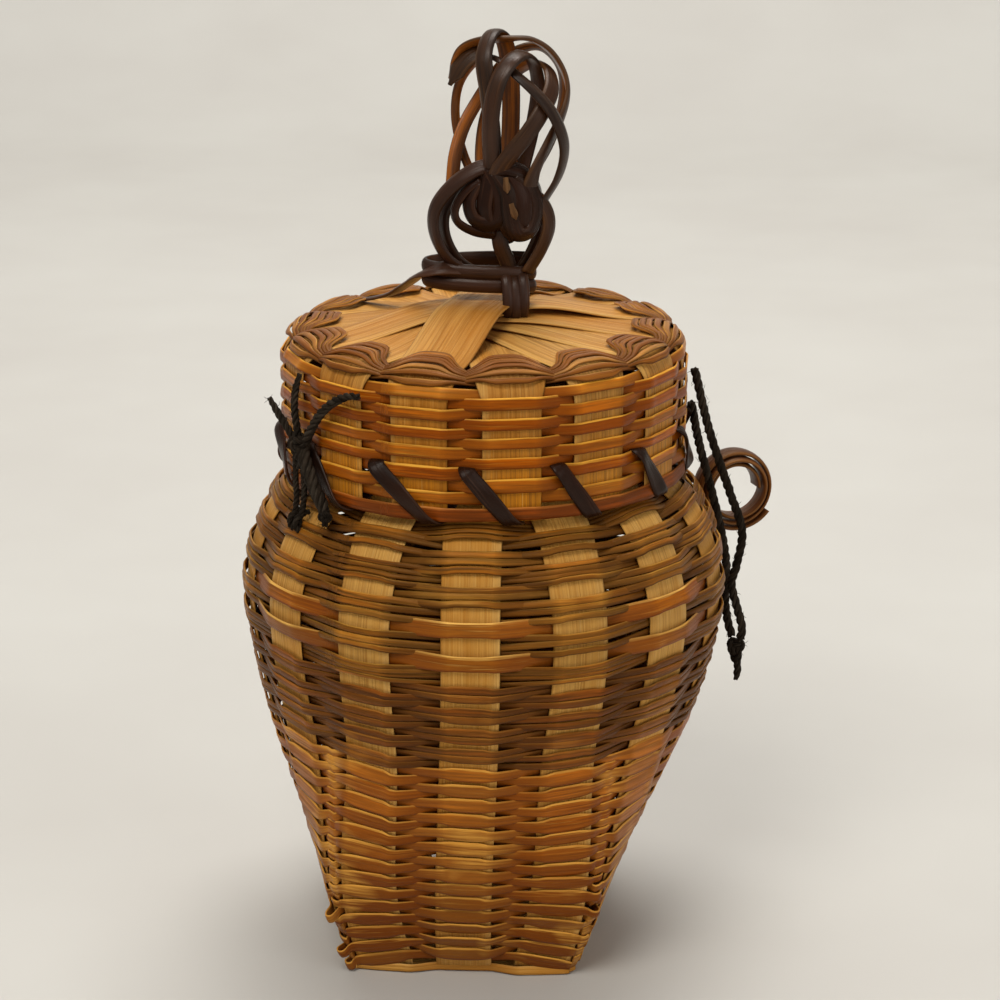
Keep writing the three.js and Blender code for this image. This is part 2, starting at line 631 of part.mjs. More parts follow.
const ringPitch = RING_STRIP_THICKNESS + windGap;
const ringRadius = RING_BORE_RADIUS + RING_STRIP_THICKNESS / 2;
const ringOuter = ringRadius + ringPitch * RING_TURNS + RING_STRIP_THICKNESS / 2;
const ringOut = radial(radians(RING_ANGLE_DEGREES));
const ringAcross = tangent(radians(RING_ANGLE_DEGREES));
const standOffs = [];
for (let turn = -Math.PI / 2; turn <= Math.PI / 2; turn += Math.PI / 24) {
  standOffs.push(shoulderReach(ringHeight + ringOuter * Math.sin(turn)) + ringOuter * Math.cos(turn));
}
const ringCentre = ringOut.clone().multiplyScalar(Math.max(...standOffs) + SEAT_GAP - RING_NEST);
ringCentre.add(vec(LEAN, 0, ringHeight));
const ringStations = [];
const ringSteps = 24 * RING_TURNS;
for (let step = 0; step <= ringSteps; step += 1) {
  const angle = 2 * Math.PI * RING_TURNS * step / ringSteps;
  const out = ringOut.clone().multiplyScalar(Math.cos(angle)).setZ(Math.sin(angle));
  const centre = along(ringCentre, out, ringRadius + ringPitch * angle / (2 * Math.PI));
  ringStations.push({ centre, across: ringAcross, out });
}
addPiece(creel, 'belt_ring', strip(ringStations, RING_STRIP_WIDTH, RING_STRIP_THICKNESS), HONEY, 0.45);
const ringGap = leastGap(ringStations, RING_STRIP_WIDTH, RING_STRIP_THICKNESS, 12);

// Hinge tie: a knot of black twine on the lid's wall, its strands down to the shoulder and
// its loose tails. Route points are turns from the tie, radius and height over the rim.
const tiePoint = ([turn, radius, height]) =>
  radial(radians(TIE_ANGLE_DEGREES + turn)).multiplyScalar(radius).setZ(height);
const tieRoutes = {
  hinge_tie_strand_1: [[-3.4, 37.8, 6.6], [-3.6, 37.7, 3], [-3, 37.7, -0.6], [-2.4, 38.6, -3.9]],
  hinge_tie_strand_2: [[0.2, 37.7, 6.4], [0.6, 37.6, 3], [0.8, 37.7, -0.6], [0.6, 38.6, -3.9]],
  hinge_tie_tail_1: [[3.8, 37.5, 10.8], [10, 36.9, 13.2], [16, 36.8, 15.6], [21.4, 37.1, 17.4]],
  hinge_tie_tail_2: [[-0.8, 37.5, 11.9], [-3, 37.9, 15.5], [-4.5, 37.4, 18.5], [-4.7, 36.6, 21.3]],
  hinge_tie_tail_3: [[-3.9, 37.6, 10.8], [-6.5, 38.6, 13], [-9.3, 40.2, 16.8]],
};
for (const [name, route] of Object.entries(tieRoutes)) {
  addPiece(lid, name, twine(route.map(tiePoint), TWINE_DIAMETER, 5), BLACK, 0.7);
}
const tailRoute = [[3.6, 37.8, 7.4], [5.6, 37.9, 3.5], [9, 38.2, 0], [10.8, 38.9, -3.4]];
addPiece(lid, 'hinge_tie_tail_4', twine(tailRoute.map(tiePoint), TAIL_DIAMETER, 4), BLACK, 0.7);

const tieKnot = new THREE.SphereGeometry(TIE_KNOT_RADIUS, 10, 7);
tieKnot.translate(...tiePoint([0, lidRadius + wallHalf + SEAT_GAP + TIE_KNOT_RADIUS, 9.6]).toArray());
addPiece(lid, 'hinge_tie_knot', tieKnot, BLACK, 0.7);

// Latch cord: two strands from the lid's right side that hang over the shoulder to an end knot.
const latchOuter = [
  vec(39, 3, 104.5), vec(41.8, 2.6, 93.5), vec(45.6, 2.6, 82.4), vec(48, 3, 75), vec(47.2, 3.4, 68.5),
  vec(46.4, 3.2, 65), vec(47.4, 2.6, 61), vec(48.4, 2.6, 57.2), vec(48.2, 3.2, 54.5),
];
const latchInner = [
  vec(38.6, 6.5, 97.5), vec(40.2, 8, 89.5), vec(42.2, 9.2, 82), vec(44, 9.6, 75), vec(45.3, 8.4, 69),
  vec(45.6, 6.2, 65), vec(45.4, 5.6, 61), vec(46, 5.4, 57), vec(46.8, 5, 54.5),
];
addPiece(creel, 'latch_cord_outer', twine(latchOuter, TWINE_DIAMETER, 16), BLACK, 0.7);
addPiece(creel, 'latch_cord_inner', twine(latchInner, TWINE_DIAMETER, 16), BLACK, 0.7);
const latchKnot = new THREE.SphereGeometry(LATCH_KNOT_RADIUS, 10, 7);
latchKnot.rotateX(Math.PI / 2);
latchKnot.scale(1, 1, LATCH_KNOT_LENGTH / (2 * LATCH_KNOT_RADIUS));
latchKnot.translate(47.5, 4.1, 54.5 - SEAT_GAP - LATCH_KNOT_LENGTH / 2);
addPiece(creel, 'latch_knot', latchKnot, BLACK, 0.7);

console.log(`least gap of the rim lashing to itself ${lashingGap.toFixed(2)} mm`);
console.log(`least gap of the grip binding to itself ${bindingGap.toFixed(2)} mm`);
console.log(`least gap of the belt ring to itself ${ringGap.toFixed(2)} mm`);

export default creel;
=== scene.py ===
"""Studio scene of a small bamboo fishing creel with its woven strips in full detail."""
import math

import bpy
import numpy as np
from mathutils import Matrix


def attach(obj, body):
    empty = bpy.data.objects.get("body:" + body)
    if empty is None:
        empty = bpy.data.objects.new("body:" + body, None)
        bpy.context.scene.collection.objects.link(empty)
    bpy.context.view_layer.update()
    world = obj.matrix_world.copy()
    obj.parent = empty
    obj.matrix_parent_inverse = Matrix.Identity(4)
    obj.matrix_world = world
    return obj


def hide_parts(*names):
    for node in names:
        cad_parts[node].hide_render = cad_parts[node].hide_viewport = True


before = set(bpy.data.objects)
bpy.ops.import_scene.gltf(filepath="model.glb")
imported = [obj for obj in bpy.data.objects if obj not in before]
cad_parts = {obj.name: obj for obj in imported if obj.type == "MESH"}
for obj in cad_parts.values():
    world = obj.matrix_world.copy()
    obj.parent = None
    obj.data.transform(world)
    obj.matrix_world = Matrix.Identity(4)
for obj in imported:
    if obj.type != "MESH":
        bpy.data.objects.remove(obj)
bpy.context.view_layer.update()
rng = np.random.default_rng(11)

# Sizes in millimetres, most of them as in the solids
MM = 0.001
STAKES = 14
STAKE_TURN = 2 * math.pi / STAKES
STAKE_HALF = 4.9
STAKE_THICK = 0.6
FOOT_X = 19.7
FOOT_Y = 21.95
FOOT_MEAN = 20.825
FRONT_PITCH = 13.8
SIDE_PITCH = 10.7
FOLD_RADIUS = 1.3
FOLD_HEIGHT = 2.2
LEAN = 2.6
ROUND_HEIGHT = 50.0
SHOULDER_RADIUS = 41.4
SHOULDER_HEIGHT = 68.0
SEAT = (33.3, 86.2)
NECK = (30.0, 90.9)
NECK_WALL = 6.0
CORNER_STAKES = (2, 6, 9, 13)
BACK_STAKE = 10
RIM_HEIGHT = 88.0
LID_RADIUS = 34.2
LID_WALL = 19.4
LID_EDGE = 4.9
LID_TURN = math.radians(10.8)
LID_SPLINTS = 7
LID_LEVELS = (6, 0, 1, 2, 3, 5, 4)
LID_FLARE = 1.0
STACK_RADIUS = 6.0
STACK_STEP = 0.8
GRIP_SEAT = 117.7
TIE_DEGREES = -52
TIE_RADIUS = 37.6
TWINE = 1.5
RING_DEGREES = 112

# Where the bands of the wall begin and end, along its length
LOWER_BAND = (0.3, 46.0)
MIDDLE_BAND = (46.2, 62.0)
SHOULDER_START = 62.4
SHOULDER_ROWS = 10
SINGLE_ROWS = (1, 3)

# Points on a curve of the profile, how far a stake's frames are apart, and how many a lid stake has
CURVE_STEPS = 80
WALL_STEP = 0.4
LID_STEPS = 85


# Camera and stage

def new_object(name, data):
    made = bpy.data.objects.new(name, data)
    bpy.context.scene.collection.objects.link(made)
    return made


def set_camera():
    data = bpy.data.cameras.new("camera")
    data.sensor_width = 36.0
    data.lens = 100.8
    data.clip_start = 0.01
    camera = new_object("camera", data)
    turn = math.radians(3.0)
    down = 17.49
    aside, back, height = 2.7, 470.0, 229.0
    x = LEAN + aside * math.cos(turn) + back * math.sin(turn)
    y = aside * math.sin(turn) - back * math.cos(turn)
    camera.location = (x * MM, y * MM, height * MM)
    camera.rotation_euler = (math.radians(90 - down), 0.0, turn)
    bpy.context.scene.camera = camera


def area_light(name, place, target, size, power, colour):
    data = bpy.data.lights.new(name, "AREA")
    data.shape = "DISK"
    data.size = size
    data.energy = power
    data.color = colour
    light = new_object(name, data)
    light.location = place
    reach = np.array(target) - np.array(place)
    level = math.hypot(reach[0], reach[1])
    heading = math.atan2(reach[1], reach[0]) - math.pi / 2
    light.rotation_euler = (math.atan2(level, -reach[2]), 0.0, heading)


def set_light():
    world = bpy.data.worlds.new("studio")
    bpy.context.scene.world = world
    world.use_nodes = True
    sky = world.node_tree.nodes["Background"].inputs
    sky["Color"].default_value = (1.0, 0.98, 0.96, 1.0)
    sky["Strength"].default_value = 0.31
    creel = (0.0, 0.0, 0.08)
    area_light("key", (-0.2, -0.55, 0.8), creel, 0.45, 4.4, (1.0, 0.97, 0.93))
    area_light("fill", (0.6, -0.5, 0.35), creel, 0.6, 1.1, (1.0, 0.98, 0.96))
    area_light("top", (0.1, 0.25, 0.9), creel, 0.4, 1.7, (1.0, 0.98, 0.96))
    area_light("backdrop", (0.0, 0.3, 1.3), (0.0, 1.1, 0.5), 0.9, 15.0, (1.0, 0.98, 0.97))
    bpy.context.scene.view_settings.view_transform = "Standard"


def rgb(red, green, blue):
    """A colour as a picture shows it, turned into the shader's linear values."""
    def linear(value):
        share = value / 255.0
        return share / 12.92 if share <= 0.04045 else ((share + 0.055) / 1.055) ** 2.4
    return (linear(red), linear(green), linear(blue), 1.0)


# Materials

GLOSS_TINT = rgb(255, 214, 156)
GREY_GLOSS = rgb(255, 250, 244)


class Shader:
    """A material's node tree. Inputs are keyed by socket name or number."""

    def __init__(self, name):
        self.material = bpy.data.materials.new(name)
        self.material.use_nodes = True
        self.tree = self.material.node_tree
        self.surface = self.tree.nodes["Principled BSDF"]

    def put(self, socket, value):
        if isinstance(value, bpy.types.NodeSocket):
            self.tree.links.new(value, socket)
        else:
            socket.default_value = value

    def add(self, kind, inputs, **settings):
        node = self.tree.nodes.new(kind)
        for key, value in settings.items():
            setattr(node, key, value)
        for key, value in inputs.items():
            self.put(node.inputs[key], value)
        return node

    def finish(self, inputs):
        for key, value in inputs.items():
            self.put(self.surface.inputs[key], value)

    def attribute(self, name):
        found = self.add("ShaderNodeAttribute", {}, attribute_name=name)
        return self.add("ShaderNodeSeparateXYZ", {0: found.outputs["Vector"]}).outputs

    def scaled(self, value, factor, offset):
        inputs = {0: value, 1: factor, 2: offset}
        return self.add("ShaderNodeMath", inputs, operation="MULTIPLY_ADD").outputs[0]

    def times(self, first, second):
        return self.add("ShaderNodeMath", {0: first, 1: second}, operation="MULTIPLY").outputs[0]

    def noise(self, vector, scale, detail):
        inputs = {"Vector": vector, "Scale": scale, "Detail": detail, "Roughness": 0.6}
        return self.add("ShaderNodeTexNoise", inputs).outputs["Fac"]

    def ramp(self, value, low, high, start=0.0, end=1.0):
        inputs = {"Value": value, "From Min": low, "From Max": high, "To Min": start, "To Max": end}
        return self.add("ShaderNodeMapRange", inputs, clamp=True).outputs[0]

    def mix(self, share, first, second):
        return self.add("ShaderNodeMix", {0: share, 6: first, 7: second}, data_type="RGBA").outputs[2]

    def vector(self, x, y, z):
        return self.add("ShaderNodeCombineXYZ", {0: x, 1: y, 2: z}).outputs[0]


def strip_material(name, colours, rough, fibre=1.8, grain=0.9, patches=0.7, edge=0.5, inner=None,
                   bump=0.35, length=0.06, foot=None, foot_height=0.0, vary=0.5, drift=0.35, worn=0.0,
                   gloss=0.25, sheen=GLOSS_TINT):
    """Split bamboo: fibres along the strip, stains, pale cut edges, and painted shade where it dives.

    The colours are those of the strip, its fibres, its stains and its cut edges. The fibre colour is also
    painted shade along the lower edge and where the strip dives, and the pale upper edge is a cut edge
    with a painted highlight. The tone drifts along the strip, and worn spots are pale. The inner face, and
    what lies below the foot height, have a colour of their own where one is given.
    """
    base, fibre_and_shade_tint, patch, pale = (rgb(*colour) for colour in colours)
    shader = Shader(name)
    ramp, times, scaled, noise = shader.ramp, shader.times, shader.scaled, shader.noise
    along, across, seed = shader.attribute("strip")
    rim, face, show = shader.attribute("tone")
    place = shader.add("ShaderNodeTexCoord", {}).outputs["Object"]
    fibre_at = shader.vector(scaled(along, length, times(seed, 19.0)),
                             scaled(across, fibre, times(seed, 31.0)), times(seed, 7.0))
    broad_at = shader.vector(scaled(along, 0.045, times(seed, 13.0)), times(across, 0.2), times(seed, 5.0))
    scuff_at = shader.add("ShaderNodeVectorMath", {0: fibre_at, 1: (1.7, 2.3, 1.0)}, operation="MULTIPLY")
    drift_at = shader.vector(scaled(along, 0.011, times(seed, 17.0)), times(seed, 3.0), 0.0)
    fibres, broad = noise(fibre_at, 1.0, 6.0), noise(broad_at, 1.0, 3.0)
    scuffs, tone = noise(scuff_at.outputs[0], 1.0, 2.0), noise(drift_at, 1.0, 2.0)
    wide = noise(place, 42.0, 4.0)
    blotch = scaled(broad, 0.6, times(wide, 0.55))
    # Ragged mask of the upper edge: a pale cut edge that is also a painted highlight.
    cut_edge_highlight = scaled(scuffs, 0.7, rim)
    layers = []
    if foot:
        height = shader.add("ShaderNodeSeparateXYZ", {0: place}).outputs[2]
        layers += [(ramp(scaled(wide, 0.03, height), foot_height + 0.02, foot_height), rgb(*foot))]
    layers += [(times(ramp(fibres, 0.4, 0.62), grain), fibre_and_shade_tint),
               (ramp(tone, 0.5, 0.34, 0.0, drift), patch),
               (ramp(tone, 0.52, 0.7, 0.0, 0.35 * drift), pale),
               (ramp(seed, 0.4, 0.0, 0.0, vary), patch),
               (ramp(seed, 0.6, 1.0, 0.0, 0.5 * vary), pale),
               (ramp(scuffs, 0.6, 0.74, 0.0, 0.45), pale),
               (times(ramp(blotch, 0.5, 0.68), patches), patch),
               # Painted shade: the fibre colour darkens the strip's lower edge.
               (ramp(rim, -0.55, -0.95, 0.0, edge), fibre_and_shade_tint),
               # Pale cut edge along the upper edge, which is also a painted highlight.
               (times(ramp(cut_edge_highlight, 1.0, 1.25), ramp(broad, 0.3, 0.55, 0.3 * edge, edge)), pale)]
    if worn:
        spots = ramp(noise(place, 55.0, 2.0), 0.58, 0.66)
        layers += [(times(times(spots, ramp(fibres, 0.62, 0.4)), worn), pale)]
    if inner:
        streaked = shader.mix(ramp(fibres, 0.36, 0.62, 0.0, 0.85), rgb(*inner), patch)
        layers += [(ramp(face, -0.6, -0.93), streaked)]
    # Painted shade: the fibre colour darkens the strip where it dives behind a stake.
    layers += [(ramp(show, 0.0, 0.55, 0.75, 0.0), fibre_and_shade_tint)]
    colour = base
    for share, tint in layers:
        colour = shader.mix(share, colour, tint)
    inputs = {"Strength": bump, "Distance": 0.0004, "Height": fibres}
    relief = shader.add("ShaderNodeBump", inputs).outputs[0]
    shader.finish({"Base Color": colour, "Normal": relief,
                   "Roughness": ramp(fibres, 0.3, 0.75, rough - 0.06, rough + 0.14),
                   "Specular IOR Level": gloss, "Specular Tint": sheen})
    return shader.material


def floor_material():
    shader = Shader("floor_pale")
    place = shader.add("ShaderNodeTexCoord", {}).outputs["Object"]
    cloud = shader.noise(place, 9.0, 3.0)
    colour = shader.mix(shader.ramp(cloud, 0.3, 0.7), rgb(195, 193, 186), rgb(189, 186, 179))
    shader.finish({"Base Color": colour, "Roughness": 0.7})
    return shader.material


STRAW = strip_material(
    "stake_straw", ((218, 166, 84), (158, 98, 30), (186, 120, 36), (236, 200, 128)), 0.5, fibre=3.6,
    grain=0.6, patches=0.5, edge=0.25, bump=0.6, length=0.035, vary=0.3)
LID_STRAW = strip_material(
    "lid_stake_gold", ((196, 146, 76), (122, 74, 26), (172, 106, 24), (232, 192, 114)), 0.45, fibre=2.2,
    grain=0.75, patches=0.5, edge=0.25, bump=0.7, length=0.035, foot=(200, 126, 24), foot_height=0.11,
    vary=0.25, drift=0.2)
HONEY = strip_material(
    "lower_honey", ((194, 104, 14), (116, 54, 5), (128, 66, 10), (226, 164, 70)), 0.4, patches=0.6,
    edge=0.85, foot=(106, 46, 8), foot_height=0.032, drift=0.7, worn=0.7)
UMBER = strip_material(
    "middle_umber", ((144, 73, 14), (62, 30, 6), (96, 55, 15), (186, 124, 48)), 0.42, patches=0.8,
    edge=0.6, bump=0.45, drift=0.6, worn=0.4)
OLIVE = strip_material(
    "shoulder_olive", ((172, 100, 25), (66, 34, 6), (102, 62, 14), (204, 148, 58)), 0.4, patches=0.8,
    edge=0.6, bump=0.45, drift=0.5, worn=0.4)
AMBER = strip_material(
    "shoulder_amber", ((182, 100, 16), (116, 54, 8), (122, 72, 18), (236, 184, 92)), 0.38, patches=0.6,
    edge=0.9)
GOLD = strip_material(
    "lid_gold", ((190, 94, 1), (110, 48, 1), (134, 60, 2), (238, 174, 62)), 0.34, grain=1.0, edge=0.9)
RUST = strip_material(
    "lid_rim_rust", ((156, 69, 8), (92, 40, 6), (104, 46, 10), (208, 132, 56)), 0.36, grain=1.0, edge=0.6)
TAN = strip_material(
    "lid_edge_tan", ((156, 92, 28), (76, 38, 8), (112, 60, 14), (222, 166, 84)), 0.4, edge=0.55,
    bump=0.45, vary=0.7)
SMOKED = strip_material(
    "smoked_strip", ((48, 29, 18), (16, 9, 6), (66, 36, 20), (98, 64, 40)), 0.32, patches=0.6, edge=0.25,
    inner=(72, 42, 18), vary=0.2, gloss=0.27, sheen=GREY_GLOSS)
LASH = strip_material(
    "smoked_strip_dark", ((30, 16, 9), (9, 5, 3), (50, 24, 12), (84, 54, 36)), 0.27, patches=0.6,
    edge=0.2, inner=(60, 34, 16), vary=0.2, gloss=0.15, sheen=GREY_GLOSS)
BARK = strip_material(
    "smoked_strip_amber", ((46, 29, 18), (18, 11, 7), (66, 38, 20), (116, 78, 40)), 0.32, patches=0.6,
    edge=0.25, inner=(158, 88, 24), vary=0.2, sheen=GREY_GLOSS)
# Pale colour of the specks in the grip's knot: painted glints.
GLINT = strip_material(
    "painted_glint", ((118, 86, 56), (62, 40, 25), (84, 56, 34), (150, 118, 82)), 0.6, edge=0.2, vary=0.2)
RING = strip_material(
    "ring_brown", ((96, 52, 24), (50, 26, 11), (66, 35, 17), (160, 106, 54)), 0.36, patches=0.6, edge=0.4,
    inner=(120, 68, 26), bump=0.4)
BLACK = strip_material(
    "black_twine", ((24, 20, 17), (8, 7, 6), (46, 38, 31), (92, 82, 70)), 0.7, fibre=6.0, grain=0.8,
    patches=0.4, edge=0.2, bump=0.9, length=0.6, gloss=0.1)


# Strips. A section's points are shares of the half width and of the half thickness.

FLAT = [(-1, 0), (-0.95, 0.6), (-0.6, 0.95), (0, 1.05), (0.6, 0.95), (0.95, 0.6), (1, 0),
        (0.95, -0.6), (0.6, -0.95), (0, -1), (-0.6, -0.95), (-0.95, -0.6)]
FINE = [(-1, 0), (-0.7, 0.8), (0, 1.05), (0.7, 0.8), (1, 0), (0.7, -0.8), (0, -1), (-0.7, -0.8)]
DOMED = [(-1, -0.55), (-0.97, 0), (-0.72, 0.62), (-0.38, 0.92), (0, 1.02), (0.38, 0.92), (0.72, 0.62),
         (0.97, 0), (1, -0.55), (0.9, -0.95), (0, -1), (-0.9, -0.95)]
THREAD = [(1, 0), (-0.5, 0.87), (-0.5, -0.87)]
ROUND = [(math.cos(k * math.pi / 4), math.sin(k * math.pi / 4)) for k in range(8)]


def unit(vectors):
    return vectors / np.linalg.norm(vectors, axis=-1, keepdims=True)


def smoothstep(value, low, high):
    share = np.clip((np.asarray(value, float) - low) / (high - low), 0, 1)
    return share * share * (3 - 2 * share)


def spline(values, steps, closed=False):
    """A smooth run through rows of values."""
    rows = np.asarray(values, float)
    if closed:
        padded = np.concatenate([rows[-1:], rows, rows[:2]])
    else:
        padded = np.concatenate([2 * rows[:1] - rows[1:2], rows, 2 * rows[-1:] - rows[-2:-1]])
    a, b, c, d = padded[:-3, None], padded[1:-2, None], padded[2:-1, None], padded[3:, None]
    t = (np.arange(steps) / steps)[None, :, None]
    bend, turn = 2 * a - 5 * b + 4 * c - d, 3 * b - a - 3 * c + d
    run = 0.5 * (2 * b + (c - a) * t + bend * t ** 2 + turn * t ** 3)
    run = run.reshape(-1, rows.shape[1])
    return run if closed else np.concatenate([run, rows[-1:]])


def lengths_along(points):
    leaps = np.linalg.norm(np.diff(points, axis=0), axis=1)
    return np.concatenate([[0.0], np.cumsum(leaps)])


class Piece:
    """Strips gathered into one mesh, with their lengths, edges and faces kept for the material."""

    def __init__(self):
        self.points, self.faces, self.strip, self.tone = [], [], [], []
        self.count = 0

    def add(self, centre, across, out, half_width, half_thick, section=FLAT, closed=False, show=1.0):
        """Adds one strip, with its faces turned to look out."""
        steps = len(centre)
        across = np.broadcast_to(across, centre.shape)
        travel = np.gradient(centre, axis=0)
        if np.sum(np.cross(across, out) * travel, axis=1).mean() < 0:
            across = -across
        shape = np.array(section, float)
        sides = len(shape)
        wide = np.broadcast_to(half_width, steps)[:, None] * shape[:, 0]
        deep = np.broadcast_to(half_thick, steps)[:, None] * shape[:, 1]
        show = np.broadcast_to(show, steps)[:, None]
        points = centre[:, None] + across[:, None] * wide[..., None] + out[:, None] * deep[..., None]
        length = lengths_along(centre)
        seed = rng.random()
        strip = np.stack(np.broadcast_arrays(length[:, None], wide, seed), -1)
        # The tone keeps the shares across and through the strip and how much of it shows; the material
        # paints shade and a highlight from them.
        tone = np.stack(np.broadcast_arrays(shape[:, 0], shape[:, 1], show), -1)
        spans = steps if closed else steps - 1
        first = np.arange(spans)[:, None] * sides
        after = ((np.arange(spans)[:, None] + 1) % steps) * sides
        side = np.arange(sides)[None]
        turn = (side + 1) % sides
        quads = np.stack([first + side, after + side, after + turn, first + turn], -1) + self.count
        self.faces.extend(quads.reshape(-1, 4).tolist())
        if not closed:
            last = self.count + (steps - 1) * sides
            self.faces.append([self.count + k for k in range(sides)])
            self.faces.append([last + k for k in reversed(range(sides))])
        self.points.append(points.reshape(-1, 3))
        self.strip.append(strip.reshape(-1, 3))
        self.tone.append(tone.reshape(-1, 3))
        self.count += steps * sides

    def make(self, name, material, body, slot, nodes):
        mesh = bpy.data.meshes.new(name)
        points = np.concatenate(self.points)
        mesh.from_pydata((points * MM).tolist(), [], self.faces)
        for key, parts in (("strip", self.strip), ("tone", self.tone)):
            layer = mesh.attributes.new(key, "FLOAT_VECTOR", "POINT")
            layer.data.foreach_set("vector", np.concatenate(parts).astype(np.float32).ravel())
        mesh.shade_smooth()
        mesh.materials.append(material)
        piece = new_object(name, mesh)
        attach(piece, body)
        if nodes:
            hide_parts(*nodes)
        return piece


def turned_away(centre, away):
    """The across and out directions of a strip whose outer face looks away from something."""
    travel = unit(np.gradient(centre, axis=0))
    across = unit(np.cross(unit(away), travel))
    return across, np.cross(travel, across)


# Stakes of the body

RIGHT, BACK, UP = np.eye(3)


def radial(angle):
    return np.array([math.sin(angle), -math.cos(angle), 0.0])


def tangent(angle):
    return np.array([math.cos(angle), math.sin(angle), 0.0])


def stake_angle(stake):
    return (stake - 1) * STAKE_TURN


def front_x(place):
    return (place - 1) * FRONT_PITCH


def side_y(place):
    return (place - 1.5) * SIDE_PITCH


FEET = [((front_x(k), -FOOT_Y), (1, 0)) for k in range(3)]
FEET += [((FOOT_X, side_y(k)), (0, 1)) for k in range(4)]
FEET += [((front_x(k), FOOT_Y), (-1, 0)) for k in reversed(range(3))]
FEET += [((-FOOT_X, side_y(k)), (0, -1)) for k in reversed(range(4))]


def curve(start, end, handles):
    """A smooth stretch of the profile. The handles are shares of its radius and height."""
    start, end = np.array(start), np.array(end)
    first, second = (start + (end - start) * np.array(handle) for handle in handles)
    t = np.linspace(0, 1, CURVE_STEPS)[:, None]
    near = (1 - t) ** 3 * start + 3 * (1 - t) ** 2 * t * first
    return near + 3 * (1 - t) * t ** 2 * second + t ** 3 * end


def even_steps(points, step):
    """The same path at even steps, and its length."""
    length = lengths_along(points)
    at = np.linspace(0, length[-1], int(length[-1] / step) + 1)
    path = np.stack([np.interp(at, length, column) for column in points.T], -1)
    return path, length[-1]


def body_profile():
    """Radius and height up the wall, its length, and how far along it the lid is seated."""
    fold, shoulder = (FOOT_MEAN, FOLD_HEIGHT), (SHOULDER_RADIUS, SHOULDER_HEIGHT)
    mouth = (NECK[0], NECK[1] + NECK_WALL)
    runs = [curve(fold, shoulder, ((0.4, 0.3), (1, 0.7))),
            curve(shoulder, SEAT, ((0, 0.43), (0.58, 0.87))),
            curve(SEAT, NECK, ((0.6, 0.26), (1, 0.5))), np.array([NECK, mouth])]
    seat_at = sum(lengths_along(run)[-1] for run in runs[:2])
    points, length = even_steps(np.concatenate([runs[0]] + [run[1:] for run in runs[1:]]), WALL_STEP)
    return points, length, seat_at


class Wall:
    """The frames of all stakes at even steps along them: centre, across, out and rise."""

    def __init__(self, centres, across):
        self.centre = centres
        rise = unit(np.gradient(centres, axis=1))
        self.out = unit(np.cross(across, rise))
        self.across = np.cross(rise, self.out)
        self.rise = rise
        leaps = np.linalg.norm(np.diff(centres[0], axis=0), axis=1)
        self.step = leaps.mean()

    def at(self, stake, length):
        last = self.centre.shape[1] - 2
        place = min(max(length / self.step, 0.0), last + 0.999)
        low = int(place)
        share = place - low
        return [(1 - share) * field[stake, low] + share * field[stake, low + 1]
                for field in (self.centre, self.across, self.out, self.rise)]


def body_wall(profile):
    radius, height = profile[:, 0], profile[:, 1]
    square = (1 - smoothstep(height, 0, ROUND_HEIGHT))[:, None]
    lean = LEAN * smoothstep(height, 0, SHOULDER_HEIGHT)
    centres, levels = [], []
    for stake in range(STAKES):
        angle = stake_angle(stake)
        foot, side = (np.array([*pair, 0.0]) for pair in FEET[stake])
        centre = radial(angle) * radius[:, None] * (1 - square)
        centre = centre + foot * radius[:, None] / FOOT_MEAN * square
        centre[:, 0] += lean
        centre[:, 2] = height
        centres.append(centre)
        levels.append(tangent(angle) * (1 - square) + side * square)
    return Wall(np.array(centres), np.array(levels))


PROFILE, WALL_LENGTH, SEAT_AT = body_profile()
BODY = body_wall(PROFILE)


def lid_rise(stake, radius):
    """How far a lid splint stands over the edge at a radius, climbing to its level in the stack."""
    level = LID_LEVELS[stake % LID_SPLINTS] * STACK_STEP
    return level * smoothstep(radius, LID_RADIUS - LID_EDGE, STACK_RADIUS)


def lid_path(stake):
    """One lid stake from the rim up, over the edge and in towards the middle."""
    turns = np.linspace(0, math.pi / 2, 24)
    arc = np.stack([LID_RADIUS - LID_EDGE * (1 - np.cos(turns)), LID_WALL + LID_EDGE * np.sin(turns)], -1)
    radius = np.linspace(LID_RADIUS - LID_EDGE, 8.0, 30)[1:]
    inner = np.stack([radius, LID_WALL + LID_EDGE + lid_rise(stake, radius)], -1)
    return np.concatenate([[(LID_RADIUS, 0.0)], arc, inner])


def lid_angle(stake):
    return stake_angle(stake) + LID_TURN


def lid_wall():
    centres, levels = [], []
    for stake in range(STAKES):
        path, _ = even_steps(lid_path(stake), WALL_STEP)
        path = path[:LID_STEPS]
        centre = radial(lid_angle(stake)) * path[:, :1]
        centre[:, 0] += LEAN
        centre[:, 2] = path[:, 1] + RIM_HEIGHT
        centres.append(centre)
        levels.append(np.broadcast_to(tangent(lid_angle(stake)), centre.shape))
    return Wall(np.array(centres), np.array(levels))


LID = lid_wall()


# Weaving. A run lists the stakes passed: stake, length up it at its left and right, whether outside.

SPOTS = np.array([-1.0, -0.5, 0.0, 0.5, 1.0])


